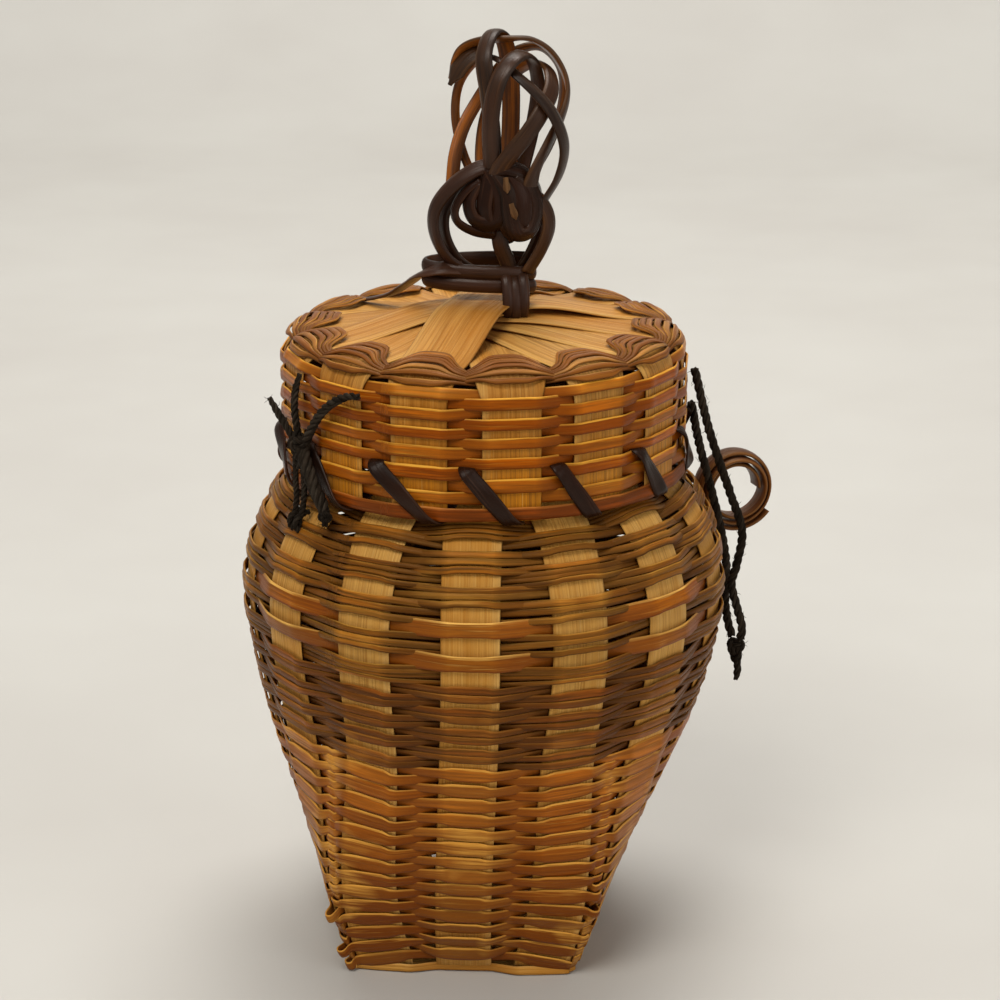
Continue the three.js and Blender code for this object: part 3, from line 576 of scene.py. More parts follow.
def stations(wall, run, lay, bulge, reach, wander, corners=0.0, fan=(0.0, 0.0)):
    """Where a weaver lies on each stake of a run.

    Columns: centre, rise, out, how much of it shows, its roll and its share of the width. The lay is its
    distance from the stake's middle, the bulge is added over it, and the reach is half its way across. The
    fan moves it up the stakes by one length where it shows and by another where it dives.
    """
    rows = []
    drift = 0.0
    for stake, left, right, outside in run:
        drift = 0.4 * drift + rng.normal(0, wander)
        roll = rng.normal(0, 0.1)
        size = rng.normal(1, 0.04)
        side = 1.0 if outside else -1.0
        for spot in SPOTS:
            show = (1 - 0.75 * spot ** 4) if outside else 0.1
            length = left + (right - left) * (spot + 1) / 2 + drift + fan[1] + (fan[0] - fan[1]) * show
            centre, across, out, rise = wall.at(stake, length)
            depth = side * (lay + bulge * (1 - spot ** 2) * (1.0 if outside else 0.4))
            point = centre + across * spot * reach + out * depth
            rows.append(np.concatenate([point, rise, out, [show, roll, size]]))
        if corners and stake in CORNER_STAKES:
            rows.extend(corner_loop(wall, stake, right, reach, corners, rows[-1]))
    return np.array(rows)


def corner_loop(wall, stake, length, reach, corners, last):
    """Stations of the slack that a weaver leaves at a corner of the square foot."""
    here, after = wall.at(stake, length), wall.at((stake + 1) % STAKES, length)
    push = 0.2 + corners * (1 - smoothstep(here[0][2], 10, 26)) * rng.uniform(0.1, 1.0) ** 2
    middle = (here[0] + here[1] * reach + after[0] - after[1] * reach) / 2
    away = unit(here[2] + after[2])
    aside = unit(here[1] + after[1])
    slack = []
    for along, share in ((-0.8, 0.75), (0.0, 1.0), (0.8, 0.75)):
        bend = unit(away + aside * along * 0.7)
        point = middle + away * push * share + aside * along
        slack.append(np.concatenate([point, last[3:6], bend, [0.5, last[10], 0.7]]))
    return slack


def lay_row(piece, rows, over, gap, thick, closed, section=FLAT):
    """One strip along the stations, of one width where it lies outside and another where it dives."""
    run = spline(rows, 3, closed)
    show = np.clip(run[:, 9], 0, 1)
    rise, out = unit(run[:, 3:6]), unit(run[:, 6:9])
    lean, upright = np.sin(run[:, 10:11]), np.cos(run[:, 10:11])
    half = (gap + (over - gap) * show) / 2 * run[:, 11]
    across, face = rise * upright + out * lean, out * upright - rise * lean
    piece.add(run[:, 0:3], across, face, half, thick / 2, section, closed, show)


def weave(piece, wall, run, over, gap, thick, closed=True, **laying):
    """One strip along a run, laid as the stations say."""
    lay_row(piece, stations(wall, run, **laying), over, gap, thick, closed)


def hoop_run(at, even, sway=0.0):
    """A level row that sways a little up and down."""
    phase = rng.uniform(0, 2 * math.pi)
    heights = [at + sway * math.sin(stake_angle(stake) + phase) for stake in range(STAKES)]
    return [(stake, heights[stake], heights[stake], (stake % 2 == 0) == even) for stake in range(STAKES)]


def chase_run(start, end, even, courses, tail=0, level_end=False):
    """A weaver's courses, with a step up past its partner over three stakes at the back.

    The tail is the number of stakes that its first end runs on for. With a level end the last course stays
    level, because the row above it does.
    """
    climb_at, climb_over = 10.5, 3
    pitch = (end - start) / (2 * courses)
    first = start + pitch * (0.5 if even else 1.5)
    run = []
    for count in range(-tail, courses * STAKES):
        stake, course, place = (BACK_STAKE + count) % STAKES, max(count, 0) // STAKES, count % STAKES
        climb = [min(max((place + side - climb_at) / climb_over, 0.0), 1.0) for side in (-0.25, 0.25)]
        if count < 0 or level_end and course == courses - 1:
            climb = [0.0, 0.0]
        left, right = (first + 2 * pitch * (course + share) for share in climb)
        run.append((stake, left, right, (stake % 2 == 0) == even))
    return run


def numbered(name, first, last):
    return [f"{name}_{number}" for number in range(first, last + 1)]


def build_lower():
    for even, first in ((True, 1), (False, 4)):
        piece = Piece()
        run = chase_run(*LOWER_BAND, even, courses=14, tail=2)
        weave(piece, BODY, run, over=3.08, gap=1.8, thick=0.36, closed=False,
              lay=0.52, bulge=0.2, reach=5.0, wander=0.07, corners=3.4)
        nodes = numbered("lower_weaver", first, first + 2)
        piece.make(f"lower_weave_{first}", HONEY, "basket", "lower_weft", nodes)


def build_foot():
    """The pale strip along the bottom edge, below the weavers."""
    rows = stations(BODY, hoop_run(0.0, True), lay=0.4, bulge=0.1, reach=5.0, wander=0.04, corners=1.2)
    rows[:, 2] = 1.0
    rows[:, 3:6] = UP
    rows[:, 8] = 0.0
    piece = Piece()
    lay_row(piece, rows, over=1.7, gap=1.5, thick=0.36, closed=True)
    piece.make("foot_weave", STRAW, "basket", "lower_weft", [])


def build_middle():
    for even, number in ((True, 1), (False, 2)):
        piece = Piece()
        run = chase_run(*MIDDLE_BAND, even, courses=4, level_end=True)
        bundle(piece, BODY, run, (0.55, 0.25, 5.0, 0.1), count=2, spread=(0.8, 0.6), width=(1.65, 1.25),
               thick=0.4, closed=False)
        piece.make(f"middle_weave_{number}", UMBER, "basket", "middle_weft", [f"middle_weaver_{number}"])


def bundle(piece, wall, run, laying, count, spread, width, thick, closed=True, arch=0.0):
    """A row of fine strips side by side, fanned over the stakes and drawn together between them.

    The laying is the lay, bulge, reach and wander. Spread and width are given over and between stakes.
    """
    for place in range(count):
        share = 2 * place / (count - 1) - 1
        rows = stations(wall, run, *laying, fan=(share * spread[0] + arch, share * spread[1]))
        rows[:, 0:3] += rows[:, 6:9] * rng.normal(0, 0.06)
        lay_row(piece, rows, *width, thick, closed, FINE)


def build_shoulder():
    pitch = (SEAT_AT - SHOULDER_START) / SHOULDER_ROWS
    bundles = {True: Piece(), False: Piece()}
    singles = Piece()
    for row in range(SHOULDER_ROWS):
        even = row % 2 == 0
        run = hoop_run(SHOULDER_START + pitch * (row + 0.5), even, sway=0.18)
        if row in SINGLE_ROWS:
            weave(singles, BODY, run, over=2.6, gap=3.1, thick=0.4,
                  lay=0.6, bulge=0.55, reach=5.1, wander=0.12)
        else:
            count = 4 if row % 3 == 0 else 3
            bundle(bundles[even], BODY, run, (0.6, 0.6, 5.1, 0.14), count, spread=(1.1, 1.35),
                   width=(3.5 / count, 3.7 / count), thick=0.45)
    for even, number in ((True, 1), (False, 2)):
        nodes = numbered("shoulder_weaver", 3 * number - 2, 3 * number)
        bundles[even].make(f"shoulder_weave_{number}", OLIVE, "basket", "shoulder_weft", nodes)
    singles.make("shoulder_weave_3", AMBER, "basket", "shoulder_weft", [])


def build_neck():
    piece = Piece()
    for row in range(4):
        run = hoop_run(WALL_LENGTH - NECK_WALL + 1.4 * (row + 0.6), row % 2 == 0)
        weave(piece, BODY, run, over=1.7, gap=1.1, thick=0.5, lay=0.6, bulge=0.1, reach=5.1, wander=0.05)
    for climb in (1.5, 4.2):
        run = [(stake, SEAT_AT + climb, SEAT_AT + climb, False) for stake in range(STAKES)]
        weave(piece, BODY, run, over=2.7, gap=2.7, thick=0.4, lay=0.55, bulge=0.0, reach=5.1, wander=0.05)
    piece.make("neck_weave", HONEY, "basket", "neck_weft", ["neck_hoop_1", "neck_hoop_2"])


def base_level(front, side):
    """Whether a front splint lies under or over a side splint in the plaited base."""
    ring = round(abs(side - 1.5) + 0.5)
    return 0 if (front + ring) % 2 == 0 else 1


def splint(name, near, far, run, across, travel):
    """A splint down one wall, under the base along its plaited run and up the opposite wall."""
    down = np.flip(BODY.centre[near], 0)[::3]
    up = BODY.centre[far][::3]
    under = -UP
    base = spline(run, 4)
    ends = [unit(under - travel), unit(under + travel)]
    base_out = np.tile(under, (len(base), 1))
    base_out[0], base_out[-1] = ends[0], ends[1]
    centre = np.concatenate([down, base, up])
    out = np.concatenate([np.flip(BODY.out[near], 0)[::3], base_out, BODY.out[far][::3]])
    sides = np.concatenate([np.flip(BODY.across[near], 0)[::3], np.tile(across, (len(base), 1)),
                            -BODY.across[far][::3]])
    piece = Piece()
    piece.add(centre, sides, out, STAKE_HALF, STAKE_THICK / 2)
    piece.make(f"{name}_strip", STRAW, "basket", "stake_bamboo", [name])


def build_splints():
    bend = FOLD_RADIUS * (1 - math.sqrt(0.5))
    beside_side, beside_front = 3.2, 3.8
    heights = (STAKE_THICK / 2 + 0.12, STAKE_THICK / 2 + STACK_STEP)
    for front in range(3):
        levels = [heights[base_level(front, side)] for side in range(4)]
        places = [side_y(side) + end * beside_side for side in range(4) for end in (-1, 1)]
        run = [(front_x(front), -FOOT_Y + bend, levels[0] + bend)]
        run += [(front_x(front), place, levels[k // 2]) for k, place in enumerate(places)]
        run += [(front_x(front), FOOT_Y - bend, levels[-1] + bend)]
        splint(f"front_splint_{front + 1}", front, 9 - front, run, RIGHT, BACK)
    for side in range(4):
        order = (2, 1, 0)
        levels = [heights[1 - base_level(front, side)] for front in order]
        places = [front_x(front) - end * beside_front for front in order for end in (-1, 1)]
        run = [(FOOT_X - bend, side_y(side), levels[0] + bend)]
        run += [(place, side_y(side), levels[k // 2]) for k, place in enumerate(places)]
        run += [(-FOOT_X + bend, side_y(side), levels[-1] + bend)]
        splint(f"side_splint_{side + 1}", 3 + side, 13 - side, run, BACK, -RIGHT)


# Lid

def build_lid_splints():
    for number in range(LID_SPLINTS):
        near = lid_angle(number)
        path, _ = even_steps(lid_path(number), 0.9)
        middle = np.linspace(path[-1, 0], -path[-1, 0], 12)[1:-1]
        top = LID_WALL + LID_EDGE + lid_rise(number, np.abs(middle))
        radius = np.concatenate([path[:, 0], middle, -path[::-1, 0]])
        height = np.concatenate([path[:, 1], top, path[::-1, 1]])
        centre = radial(near) * radius[:, None]
        centre[:, 0] += LEAN
        centre[:, 2] = height + RIM_HEIGHT
        travel = unit(np.gradient(centre, axis=0))
        across = tangent(near)
        out = unit(np.cross(across, travel))
        wide = STAKE_HALF + LID_FLARE * smoothstep(height, LID_WALL, LID_WALL + LID_EDGE)
        piece = Piece()
        piece.add(centre, across, out, wide, STAKE_THICK / 2)
        name = f"lid_splint_{number + 1}"
        piece.make(f"{name}_strip", LID_STRAW, "lid", "lid_stake_bamboo", [name])


def build_lid_weave():
    band, rim, wall = Piece(), Piece(), Piece()
    outside = [(stake, 1.3, 1.3, True) for stake in range(STAKES)]
    weave(band, LID, outside, over=2.5, gap=2.4, thick=0.4, lay=0.56, bulge=0.1, reach=5.0, wander=0.08)
    for row in range(3):
        run = hoop_run(4.0 + 2.08 * row, row % 2 == 0)
        weave(rim, LID, run, over=2.3, gap=2.25, thick=0.4, lay=0.54, bulge=0.12, reach=5.0, wander=0.08)
    for row in range(8):
        run = hoop_run(10.05 + 1.63 * row, row % 2 == 1, sway=0.1)
        weave(wall, LID, run, over=2.0, gap=1.95, thick=0.36, lay=0.54, bulge=0.2, reach=5.0, wander=0.08)
    band.make("lid_rim_band", RUST, "lid", "lid_weft", [])
    rim.make("lid_rim_weave", GOLD, "lid", "lid_weft", ["lid_rim_hoop_1", "lid_rim_hoop_2"])
    wall.make("lid_wall_weave", GOLD, "lid", "lid_weft", ["lid_wall_weaver_1", "lid_wall_weaver_2"])
    for row in (1, 2):
        piece = Piece()
        run = hoop_run(24.3 + 0.3 * row, row == 1)
        bundle(piece, LID, run, (0.6, 0.75, 5.4, 0.06), count=7, spread=(3.9, 1.0), width=(1.2, 0.55),
               thick=0.45, arch=2.0)
        piece.make(f"lid_edge_weave_{row}", TAN, "lid", "lid_edge_weft", [f"lid_edge_hoop_{row}"])


# How far round, in gaps between stakes, a turn of the lashing slants where the photo shows it
LASHING_SLANTS = {13: 0.56, 0: 0.44, 1: 0.38, 2: 0.38}


def build_lashing():
    """One smoked strip wound round the rim, a turn for every gap between stakes."""
    outer, inner, top, bottom = 35.8, 32.7, 9.2, -0.35
    points = []
    for turn in range(STAKES):
        wobble = rng.normal(0, 0.03)
        slant = LASHING_SLANTS.get(turn, 0.48)
        turn_path = [(inner, top - 0.6, -0.03), (34.3, top, 0.0), (outer, top - 0.7, 0.03),
                     (outer, top * 0.64, slant * 0.36), (outer, top * 0.32, slant * 0.7),
                     (outer - 0.1, 0.4, slant), (34.4, bottom, slant + 0.08), (inner, 0.6, slant + 0.14),
                     (inner, top * 0.5, 0.86)]
        for radius, height, share in turn_path:
            angle = lid_angle(turn + 0.5 + share + wobble)
            point = radial(angle) * radius
            points.append([point[0] + LEAN, point[1], height + RIM_HEIGHT])
    centre = spline(points, 6)
    hub = np.array([LEAN, 0, RIM_HEIGHT + 4.0])
    spoke = unit((centre - hub) * np.array([1, 1, 0]))
    middle = hub + spoke * 34.35
    away = (centre - middle) * np.array([1, 1, 0.35])
    across, out = turned_away(centre, away)
    piece = Piece()
    piece.add(centre, across, out, 1.42, 0.26)
    piece.make("rim_lashing_strip", LASH, "lid", "smoked_strip", ["rim_lashing"])


# Grip. Points are millimetres from where the lid's splints cross, as x, y, height.

HOOPS = [
    [(1.6, -2.5, 18), (1.7, -5.0, 28), (0.9, -5.6, 36), (0.2, -4.4, 42), (1.5, -0.6, 45.4),
     (3.3, 3.2, 43.4), (4.2, 5.6, 37), (4.3, 5.6, 30), (4.0, 3.5, 22), (3.6, 1.5, 17)],
    [(1.8, -3.5, 18), (1.4, -6.8, 28.5), (1.8, -7.4, 34.5), (3.0, -7.0, 38.8), (5.1, -5.2, 41.6),
     (6.9, -2.0, 42.0), (8.4, 2.0, 39.8), (9.0, 4.8, 35), (8.0, 5.4, 28), (6.0, 3.5, 20)],
    [(-1.0, 2.2, 18), (-3.9, 3.6, 24.4), (-5.2, 4.6, 30.6), (-4.4, 5.0, 36.2), (-1.0, 2.4, 40.6),
     (2.6, -2.2, 41.0), (5.8, -5.0, 38.9), (9.1, -6.2, 36.2), (11.7, -5.8, 33), (13.4, -4.4, 29),
     (13.8, -2.8, 25.3), (12.7, -1.6, 21), (10.2, -2.0, 16.8)],
    [(7.6, -4.6, 18.5), (8.9, -4.9, 22.6), (11.4, -2.6, 27.7), (13.4, -0.4, 31.7), (14.1, 1.2, 35.2),
     (13.3, 2.0, 38.6), (11.0, 2.0, 42.0), (7.8, 1.0, 44.0), (4.2, 0.2, 44.2), (0.2, 0.8, 43.9),
     (-3.2, 1.6, 42.6), (-5.0, 2.4, 40.2), (-5.8, 2.8, 37.0)],
    [(7.2, 3.0, 19), (11.2, 4.0, 26), (13.2, 5.0, 33), (12.8, 5.6, 38.5), (9.6, 5.4, 42.0),
     (5.6, 5.4, 41.6), (2.0, 5.4, 38.0), (-1.0, 4.4, 33.6), (-3.6, 2.6, 29.0), (-5.0, 0.8, 24.2),
     (-5.4, -0.6, 19.6)],
    [(1.5, -4.8, 19), (3.0, -6.0, 23), (5.2, -6.9, 26.2), (7.9, -6.9, 29.6), (10.3, -5.6, 33.4),
     (11.6, -2.6, 36.6), (10.6, 1.6, 39.2), (7.2, 4.4, 39.4), (3.0, 6.6, 36), (0.2, 6.6, 30),
     (-0.6, 4.8, 23), (0.4, 2.0, 17.5)],
]
FOLD_TIP = [(0.6, 1.4, 42.0), (-1.8, 1.0, 41.4), (-4.0, 0.8, 39.4), (-5.9, 0.8, 36.2)]
# Two pale specks in the knot, drawn as short strips: painted glints.
GLINT_SPECKS = [[(4.0, -6.9, 22.0), (4.1, -7.1, 21.1), (4.2, -7.15, 20.2), (4.3, -7.1, 19.4)],
            [(4.9, -7.05, 17.6), (5.2, -7.25, 16.7), (5.5, -7.25, 15.8), (5.8, -7.0, 14.9)]]
LEFT_LOOP, RIGHT_LOOP, KNOT_LOOP, STEM = [
    [(-2.6, -1.6, 4.4), (-6.2, -2.4, 7.0), (-8.3, -2.8, 11.0), (-8.5, -3.2, 15.0), (-6.8, -3.8, 18.3),
     (-3.4, -4.4, 21.6), (0.4, -4.2, 23.4), (3.6, -3.2, 22.0)],
    [(7.6, -1.8, 4.6), (9.8, -2.0, 8.4), (11.2, -2.4, 12.2), (10.9, -2.8, 15.4), (9.0, -3.4, 18.2),
     (6.0, -4.0, 20.4)],
    [(-0.6, -4.4, 21.4), (-3.2, -4.6, 19.0), (-4.8, -4.4, 16.0), (-4.2, -4.2, 13.6), (-1.4, -4.2, 12.0),
     (2.0, -4.0, 11.4)],
    [(4.8, -1.2, 3.4), (4.0, -2.2, 6.6), (3.0, -3.2, 9.4), (2.6, -3.6, 12.5)],
]
KNOT = [
    [(-1.0, -4.2, 20.8), (-2.4, -4.8, 17.6), (-1.8, -5.2, 14.8), (0.2, -5.6, 13.6), (2.4, -5.8, 14.4),
     (3.2, -6.0, 17.0), (2.8, -6.0, 20.4), (1.6, -5.2, 23.2)],
    [(1.2, -5.0, 23.0), (0.6, -5.6, 19.6), (0.2, -5.9, 16.4), (1.0, -5.2, 13.4), (3.0, -3.4, 12.6)],
    [(2.2, -5.4, 22.8), (4.4, -6.4, 19.6), (4.9, -6.6, 15.6), (6.0, -6.2, 12.2), (8.2, -5.0, 12.4),
     (9.3, -4.2, 15.8), (8.4, -4.4, 19.8), (6.2, -5.0, 22.6)],
    [(4.6, -5.0, 23.0), (6.6, -5.8, 19.6), (7.2, -6.0, 16.0), (6.9, -5.2, 12.6), (5.4, -3.2, 11.4)],
    [(-1.0, -3.4, 21.6), (3.0, -5.2, 23.4), (7.0, -4.4, 22.4), (9.2, -1.0, 18.8), (8.6, 3.0, 15.8),
     (4.8, 4.8, 14.8), (0.2, 3.6, 16.0), (-2.4, 0.2, 18.6), (-2.2, -2.8, 20.8)],
    [(5.8, -5.2, 11.4), (3.8, -5.6, 14.0), (2.2, -5.0, 17.4), (3.2, -2.0, 21.6), (5.6, 2.6, 20.6),
     (6.4, 4.0, 15.4), (5.4, 2.4, 10.8), (3.8, -1.6, 10.0)],
    [(-1.6, -2.0, 15.0), (2.0, -3.4, 16.4), (6.0, -3.6, 17.0), (8.4, -0.6, 17.0), (6.0, 2.6, 17.4),
     (1.0, 2.6, 17.6), (-1.8, -0.2, 17.6)],
]


def bent_strip(piece, points, hub, half_width, half_thick, taper=0.0, slim=0.0, last_hub=None):
    """A strip through points of the grip, with its outer face turned away from a hub.

    The hub may move along the strip. The strip tapers to its last end and is slimmer in its first part.
    """
    centre = spline(points, 8)
    share = np.linspace(0, 1, len(centre))
    hubs = np.outer(1 - share, hub) + np.outer(share, last_hub or hub)
    across, out = turned_away(centre, centre - hubs)
    wide = half_width * (1 - taper * smoothstep(share, 0.75, 1.0))
    wide = wide * (1 - slim * smoothstep(share, 0.55, 0.2))
    base = np.array([LEAN, 0.0, GRIP_SEAT])
    piece.add(centre + base, across, out, wide, half_thick, DOMED)


def build_grip():
    middle, front, back = (4.0, 0.0, 30.0), (-3.0, -9.0, 29.0), (4.0, 3.0, 30.0)
    # The strips for each hoop of the solids: points, hub, last hub, half width, taper and slimmer part
    hoops = [[(HOOPS[0], middle, middle, 1.55, 0.0, 0.0)],
             [(HOOPS[1], middle, middle, 1.55, 0.0, 0.0)],
             [(HOOPS[2], front, back, 1.55, 0.0, 0.5), (HOOPS[4], middle, front, 1.15, 0.0, 0.0)],
             [(HOOPS[3], back, front, 1.55, 0.7, 0.0), (HOOPS[5], back, middle, 1.55, 0.0, 0.0)]]
    for number, strips in enumerate(hoops, 1):
        piece = Piece()
        for points, hub, last_hub, half_width, taper, slim in strips:
            bent_strip(piece, points, hub, half_width, 0.42, taper, slim, last_hub)
        if number == 4:
            bent_strip(piece, FOLD_TIP, (-1.0, 9.0, 33.0), 1.7, 0.36, taper=0.8)
        name = f"grip_hoop_{number}"
        piece.make(f"{name}_strip", SMOKED if number == 2 else BARK, "lid", "smoked_strip", [name])
    knot, ends, left, right, stem = (Piece() for _ in range(5))
    for points in KNOT:
        bent_strip(knot, points, (3.6, 0.5, 16.8), 1.6, 0.55)
    bent_strip(knot, KNOT_LOOP, (-0.5, -1.0, 14.8), 1.1, 0.38)
    # The pale specks are painted glints.
    for points in GLINT_SPECKS:
        bent_strip(ends, points, (4.6, 0.0, 17.5), 0.62, 0.25, taper=0.7, slim=0.25)
    bent_strip(left, LEFT_LOOP, (0.0, 4.0, 14.0), 1.5, 0.5)
    bent_strip(left, np.add(LEFT_LOOP, (1.6, 2.4, -0.6)), (1.0, 6.0, 13.5), 1.4, 0.5)
    bent_strip(right, RIGHT_LOOP, (4.5, 4.0, 12.5), 1.45, 0.5)
    bent_strip(right, np.add(RIGHT_LOOP, (-1.5, 2.2, -0.4)), (3.0, 6.0, 12.0), 1.35, 0.5)
    bent_strip(stem, STEM, (4.2, 6.0, 8.0), 1.4, 0.6)
    knot.make("grip_knot_strips", LASH, "lid", "smoked_strip", ["grip_knot"])
    ends.make("grip_knot_painted_glints", GLINT, "lid", "smoked_strip", [])
    left.make("grip_loop_left_strip", SMOKED, "lid", "smoked_strip", ["grip_loop_left"])
    right.make("grip_loop_right_strip", BARK, "lid", "smoked_strip", ["grip_loop_right"])
    stem.make("grip_stem_strip", SMOKED, "lid", "smoked_strip", ["grip_stem"])


TIE_DOWN = [(4.9, -1.4, 4.2), (5.3, -3.2, 3.2), (5.6, -4.1, 1.4), (5.7, -4.6, -0.6), (5.6, -4.5, -2.2),
            (5.4, -3.4, -3.4)]
BINDING_TAIL = [(-3.6, -2.2, 5.5), (-7.0, -3.0, 5.6), (-9.7, -2.2, 4.8), (-11.4, 0.2, 3.5),
                (-12.8, 3.4, 1.8), (-14.6, 6.8, 0.0), (-17.0, 9.6, -2.0), (-20.6, 13.4, -3.8),
                (-23.0, 16.0, -4.7)]


def build_binding():
    """Two oval turns under the knot, three strands that tie them down, and a tail over the lid."""
    piece = Piece()
    base = np.array([LEAN - 0.9, 0.0, GRIP_SEAT])
    half_length, half_depth, pitch = 9.4, 3.2, 2.3
    turns = np.linspace(0, 2.15 * 2 * math.pi, 130)
    rise = 1.6 + pitch * turns / (2 * math.pi)
    centre = np.stack([half_length * np.sin(turns + 0.6), half_depth * np.cos(turns + 0.6), rise], -1)
    out = unit(centre * np.array([1 / half_length ** 2, 1 / half_depth ** 2, 0]))
    piece.add(centre + base, UP, out, 1.25, 0.5, DOMED)
    for aside in (-1.7, 0.0, 1.7):
        spread = np.linspace(0.85, 0.7, len(TIE_DOWN))[:, None]
        tie = np.array(TIE_DOWN) + spread * [aside, 0.15 * aside, 0.45 * abs(aside)]
        bent_strip(piece, tie, (5.4 + aside, 2.0, 1.0), 1.0, 0.5)
    bent_strip(piece, BINDING_TAIL, (-6.0, 9.0, -10.0), 1.6, 0.35, taper=0.5,
               last_hub=(-12.0, 2.0, -40.0))
    piece.make("grip_binding_strip", SMOKED, "lid", "smoked_strip", ["grip_binding"])


# Belt ring

def build_ring():
    angle = math.radians(RING_DEGREES)
    ring_out, ring_across = radial(angle), tangent(angle)
    hub = np.array([46.95, 17.92, 78.3])
    turns = np.linspace(0, 2.9 * 2 * math.pi, 190)
    radius = 4.55 + 1.05 * turns / (2 * math.pi)
    out = np.cos(turns)[:, None] * ring_out + np.sin(turns)[:, None] * UP
    shift = 0.5 * np.sin(turns * 0.5 + 0.7)
    centre = hub + out * radius[:, None] + ring_across * shift[:, None]
    piece = Piece()
    piece.add(centre, ring_across, out, 2.0, 0.42, DOMED)
    piece.make("belt_ring_strip", RING, "basket", "ring_strip", ["belt_ring"])


# Twine

def carried_frame(points):
    """Travel and two sideways directions along a path, without sudden turns."""
    travel = unit(np.gradient(points, axis=0))
    side = np.cross(travel[0], [0.3, 0.9, 0.2])
    sides = []
    for step in travel:
        side = side - step * np.dot(side, step)
        side = side / np.linalg.norm(side)
        sides.append(side)
    sides = np.array(sides)
    return travel, sides, np.cross(travel, sides)


HAIR = [0.05, 0.045, 0.03]


def twist(piece, points, diameter, plies=3, lay=4.6, taper=0.0, hairs=1.2):
    """Plies wound round each other along a path, a turn in each lay, with so many hairs a millimetre."""
    path, length = even_steps(spline(points, 12), 0.25)
    travel, side, other = carried_frame(path)
    at = np.linspace(0, length, len(path))
    slim = 1 - taper * smoothstep(at / length, 0.7, 1.0)
    ply = diameter / 2 / (1 + 1 / math.sin(math.pi / plies))
    off = (diameter / 2 - ply) * slim
    for number in range(plies):
        angle = 2 * math.pi * (at / lay + number / plies)
        centre = path + side * (np.cos(angle) * off)[:, None] + other * (np.sin(angle) * off)[:, None]
        _, across, out = carried_frame(centre)
        half = ply * 1.2 * slim
        piece.add(centre, across, out, half, half, ROUND)
    for start in rng.integers(0, len(path), int(length * hairs)):
        angle = rng.uniform(0, 2 * math.pi)
        away = side[start] * math.cos(angle) + other[start] * math.sin(angle)
        reach = diameter / 2 + rng.uniform(0.15, 0.75)
        lean = travel[start] * rng.normal(0, 0.6)
        root = path[start]
        hair = np.array([root + away * diameter * 0.3, root + away * reach * 0.75 + lean * 0.3,
                         root + away * reach + lean])
        _, across, out = carried_frame(hair)
        piece.add(hair, across, out, HAIR, HAIR, THREAD)
    return path


def tie_point(turn, radius, height):
    """A point by degrees from the tie's middle, distance from the lid's axis and height over the rim."""
    point = radial(math.radians(TIE_DEGREES + turn)) * radius
    return np.array([point[0] + LEAN, point[1], height + RIM_HEIGHT])


# The strands and tails of the hinge tie: diameter and points
TIE = {
    "strand_1": (1.0, [
        (-2.0, 37.6, 8.0), (-2.8, 37.4, 3), (-2.6, 37.4, -0.6), (-2.2, 38.0, -3.6), (-2.0, 38.1, -5.2)]),
    "strand_2": (1.0, [
        (0.8, 37.5, 7.8), (1.2, 37.3, 3), (1.0, 37.4, -0.6), (0.6, 38.0, -3.6), (0.4, 38.1, -5.0)]),
    "tail_1": (TWINE, [
        (2.2, 37.6, 9.0), (4.4, 37.5, 11.8), (7.8, 37.2, 15.2), (12.4, 36.9, 18.0), (17.8, 36.8, 19.8),
        (21.8, 37.0, 20.2)]),
    "tail_2": (1.25, [
        (0.2, 37.6, 9.6), (-0.4, 37.9, 12.8), (-1.2, 37.9, 15.6), (-1.8, 37.4, 18.6), (-1.6, 36.6, 21.2)]),
    "tail_3": (1.25, [
        (-1.2, 37.6, 9.0), (-4.0, 38.0, 11.2), (-6.5, 38.6, 13), (-9.0, 40.0, 16.4)]),
    "tail_4": (2.2, [
        (1.4, 37.6, 9.0), (3.4, 37.9, 7.0), (6.6, 38.0, 3.6), (10.2, 38.2, 0.8), (12.8, 38.7, -1.8)]),
}
STITCH = [(36.2, -2.4), (38.3, -3.0), (38.9, -4.0), (38.6, -5.2), (36.9, -6.2)]


def knot_path(hub, size, stretch, sides):
    """A path that goes through itself three times, like a tied knot."""
    turns = np.linspace(0, 2 * math.pi, 40)
    flat = np.stack([np.sin(turns) + 2 * np.sin(2 * turns), np.cos(turns) - 2 * np.cos(2 * turns),
                     -1.2 * np.sin(3 * turns)], -1) / 3.0 * size
    side, up, out = sides
    return hub + flat[:, :1] * side + flat[:, 1:2] * up * stretch + flat[:, 2:] * out


def build_tie():
    angle = math.radians(TIE_DEGREES)
    sides = (tangent(angle), UP, radial(angle))
    for part, (diameter, route) in TIE.items():
        name = f"hinge_tie_{part}"
        piece = Piece()
        points = [tie_point(*point) for point in route]
        twist(piece, points, diameter, 4 if diameter > 2 else 3, 2.8 * diameter, taper=0.3, hairs=2.5)
        if part == "tail_4":
            end = knot_path(tie_point(12.2, 38.7, -1.2), 0.9, 1.3, sides)
            twist(piece, end, 1.1, lay=3.4, hairs=3.0)
        piece.make(f"{name}_yarn", BLACK, "lid", "twine", [name])
    knot, stitches = Piece(), Piece()
    for size, stretch, height in ((1.7, 1.2, 9.2), (1.3, 1.0, 8.2), (1.2, 0.9, 6.8)):
        hub = tie_point(0.25 * (9.2 - height), TIE_RADIUS, height)
        twist(knot, knot_path(hub, size, stretch, sides), 1.3, lay=4.0, hairs=2.5)
    for turn in (-2.2, 0.6):
        twist(stitches, [tie_point(turn, *point) for point in STITCH], 1.0, lay=2.8)
    knot.make("hinge_tie_knot_yarn", BLACK, "lid", "twine", ["hinge_tie_knot"])
    stitches.make("hinge_tie_stitch_yarn", BLACK, "basket", "twine", [])


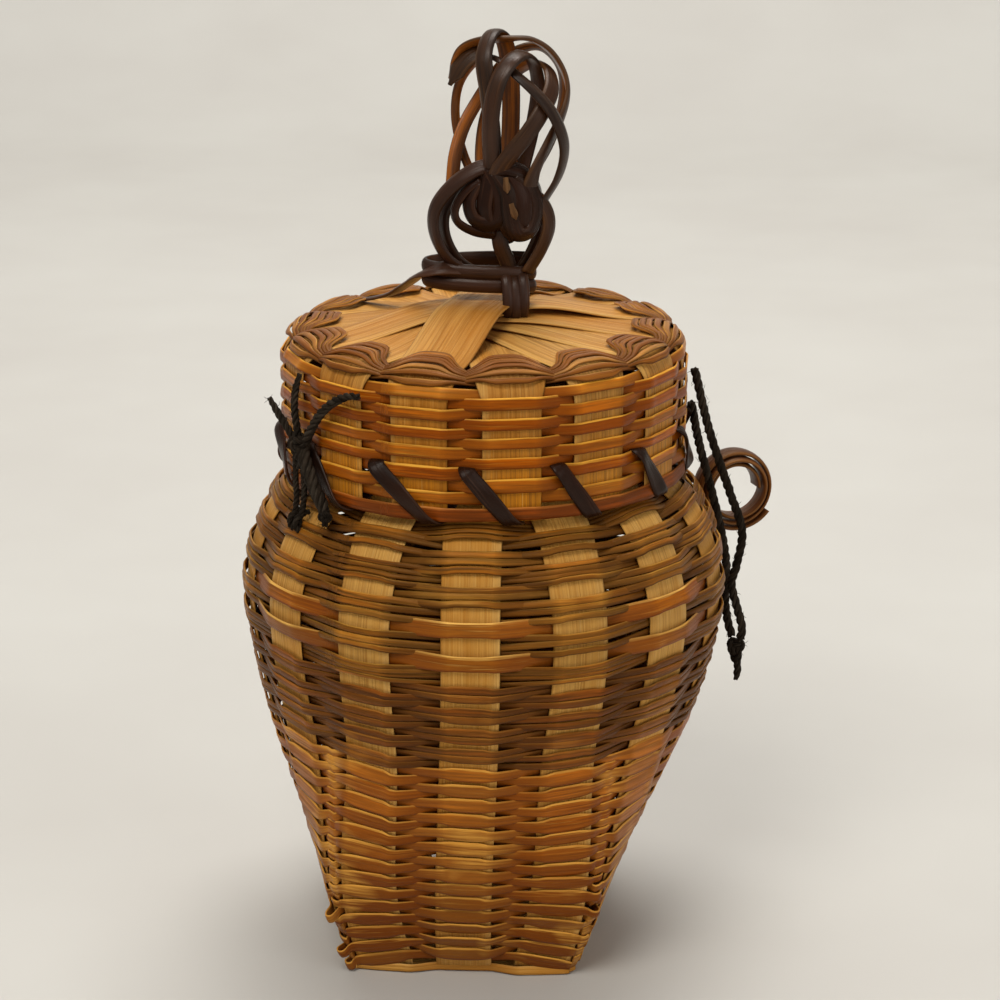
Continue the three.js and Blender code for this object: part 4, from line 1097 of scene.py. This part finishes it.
LATCH = {
    "latch_cord_outer": [
        (39, 3, 104.5), (41.8, 2.6, 93.5), (45.6, 2.6, 82.4), (48, 3, 75), (47.2, 3.4, 68.5),
        (46.4, 3.2, 65), (47.4, 2.6, 61), (48.4, 2.6, 57.2), (48.2, 3.2, 54.5)],
    "latch_cord_inner": [
        (38.6, 6.5, 97.5), (40.2, 8, 89.5), (42.2, 9.2, 82), (44, 9.6, 75), (45.3, 8.4, 69),
        (45.6, 6.2, 65), (45.4, 5.6, 61), (46, 5.4, 57), (46.8, 5, 54.5)],
}


def build_latch():
    knot = Piece()
    hub, sides = np.array([47.5, 4.1, 52.4]), (RIGHT, UP, -BACK)
    twist(knot, knot_path(hub, 1.1, 1.9, sides), 1.3, lay=4.0)
    twist(knot, [(47.6, 4.0, 51.0), (47.9, 3.8, 48.6), (47.6, 3.6, 46.6)], 1.3, lay=4.0, taper=0.4)
    end = knot.make("latch_knot_yarn", BLACK, "lid", "twine", ["latch_knot"])
    for name, route in LATCH.items():
        piece = Piece()
        path = twist(piece, route, TWINE)
        cord = piece.make(f"{name}_yarn", BLACK, "lid", "twine", [name])
        length = float(lengths_along(path)[-1]) * MM


def build_floor():
    """A pale table that sweeps up into the wall behind. Its sizes are metres."""
    mesh = bpy.data.meshes.new("floor")
    front, back, top, bend, half = -1.6, 0.75, 1.8, 0.35, 2.5
    turns = np.linspace(0, math.pi / 2, 14)[1:]
    steps = [(front, 0.0), (back, 0.0)]
    steps += [(back + bend * math.sin(turn), bend * (1 - math.cos(turn))) for turn in turns]
    steps += [(back + bend, top)]
    points = [(x, y, z) for y, z in steps for x in (-half, half)]
    faces = [(2 * k, 2 * k + 1, 2 * k + 3, 2 * k + 2) for k in range(len(steps) - 1)]
    mesh.from_pydata(points, [], faces)
    mesh.shade_smooth()
    mesh.materials.append(floor_material())
    floor = new_object("floor", mesh)


# The random draws follow the order of these calls.
set_camera()
build_latch()
build_tie()
set_light()
build_floor()
build_splints()
build_lower()
build_foot()
build_middle()
build_shoulder()
build_neck()
build_lid_splints()
build_lid_weave()
build_lashing()
build_grip()
build_binding()
build_ring()
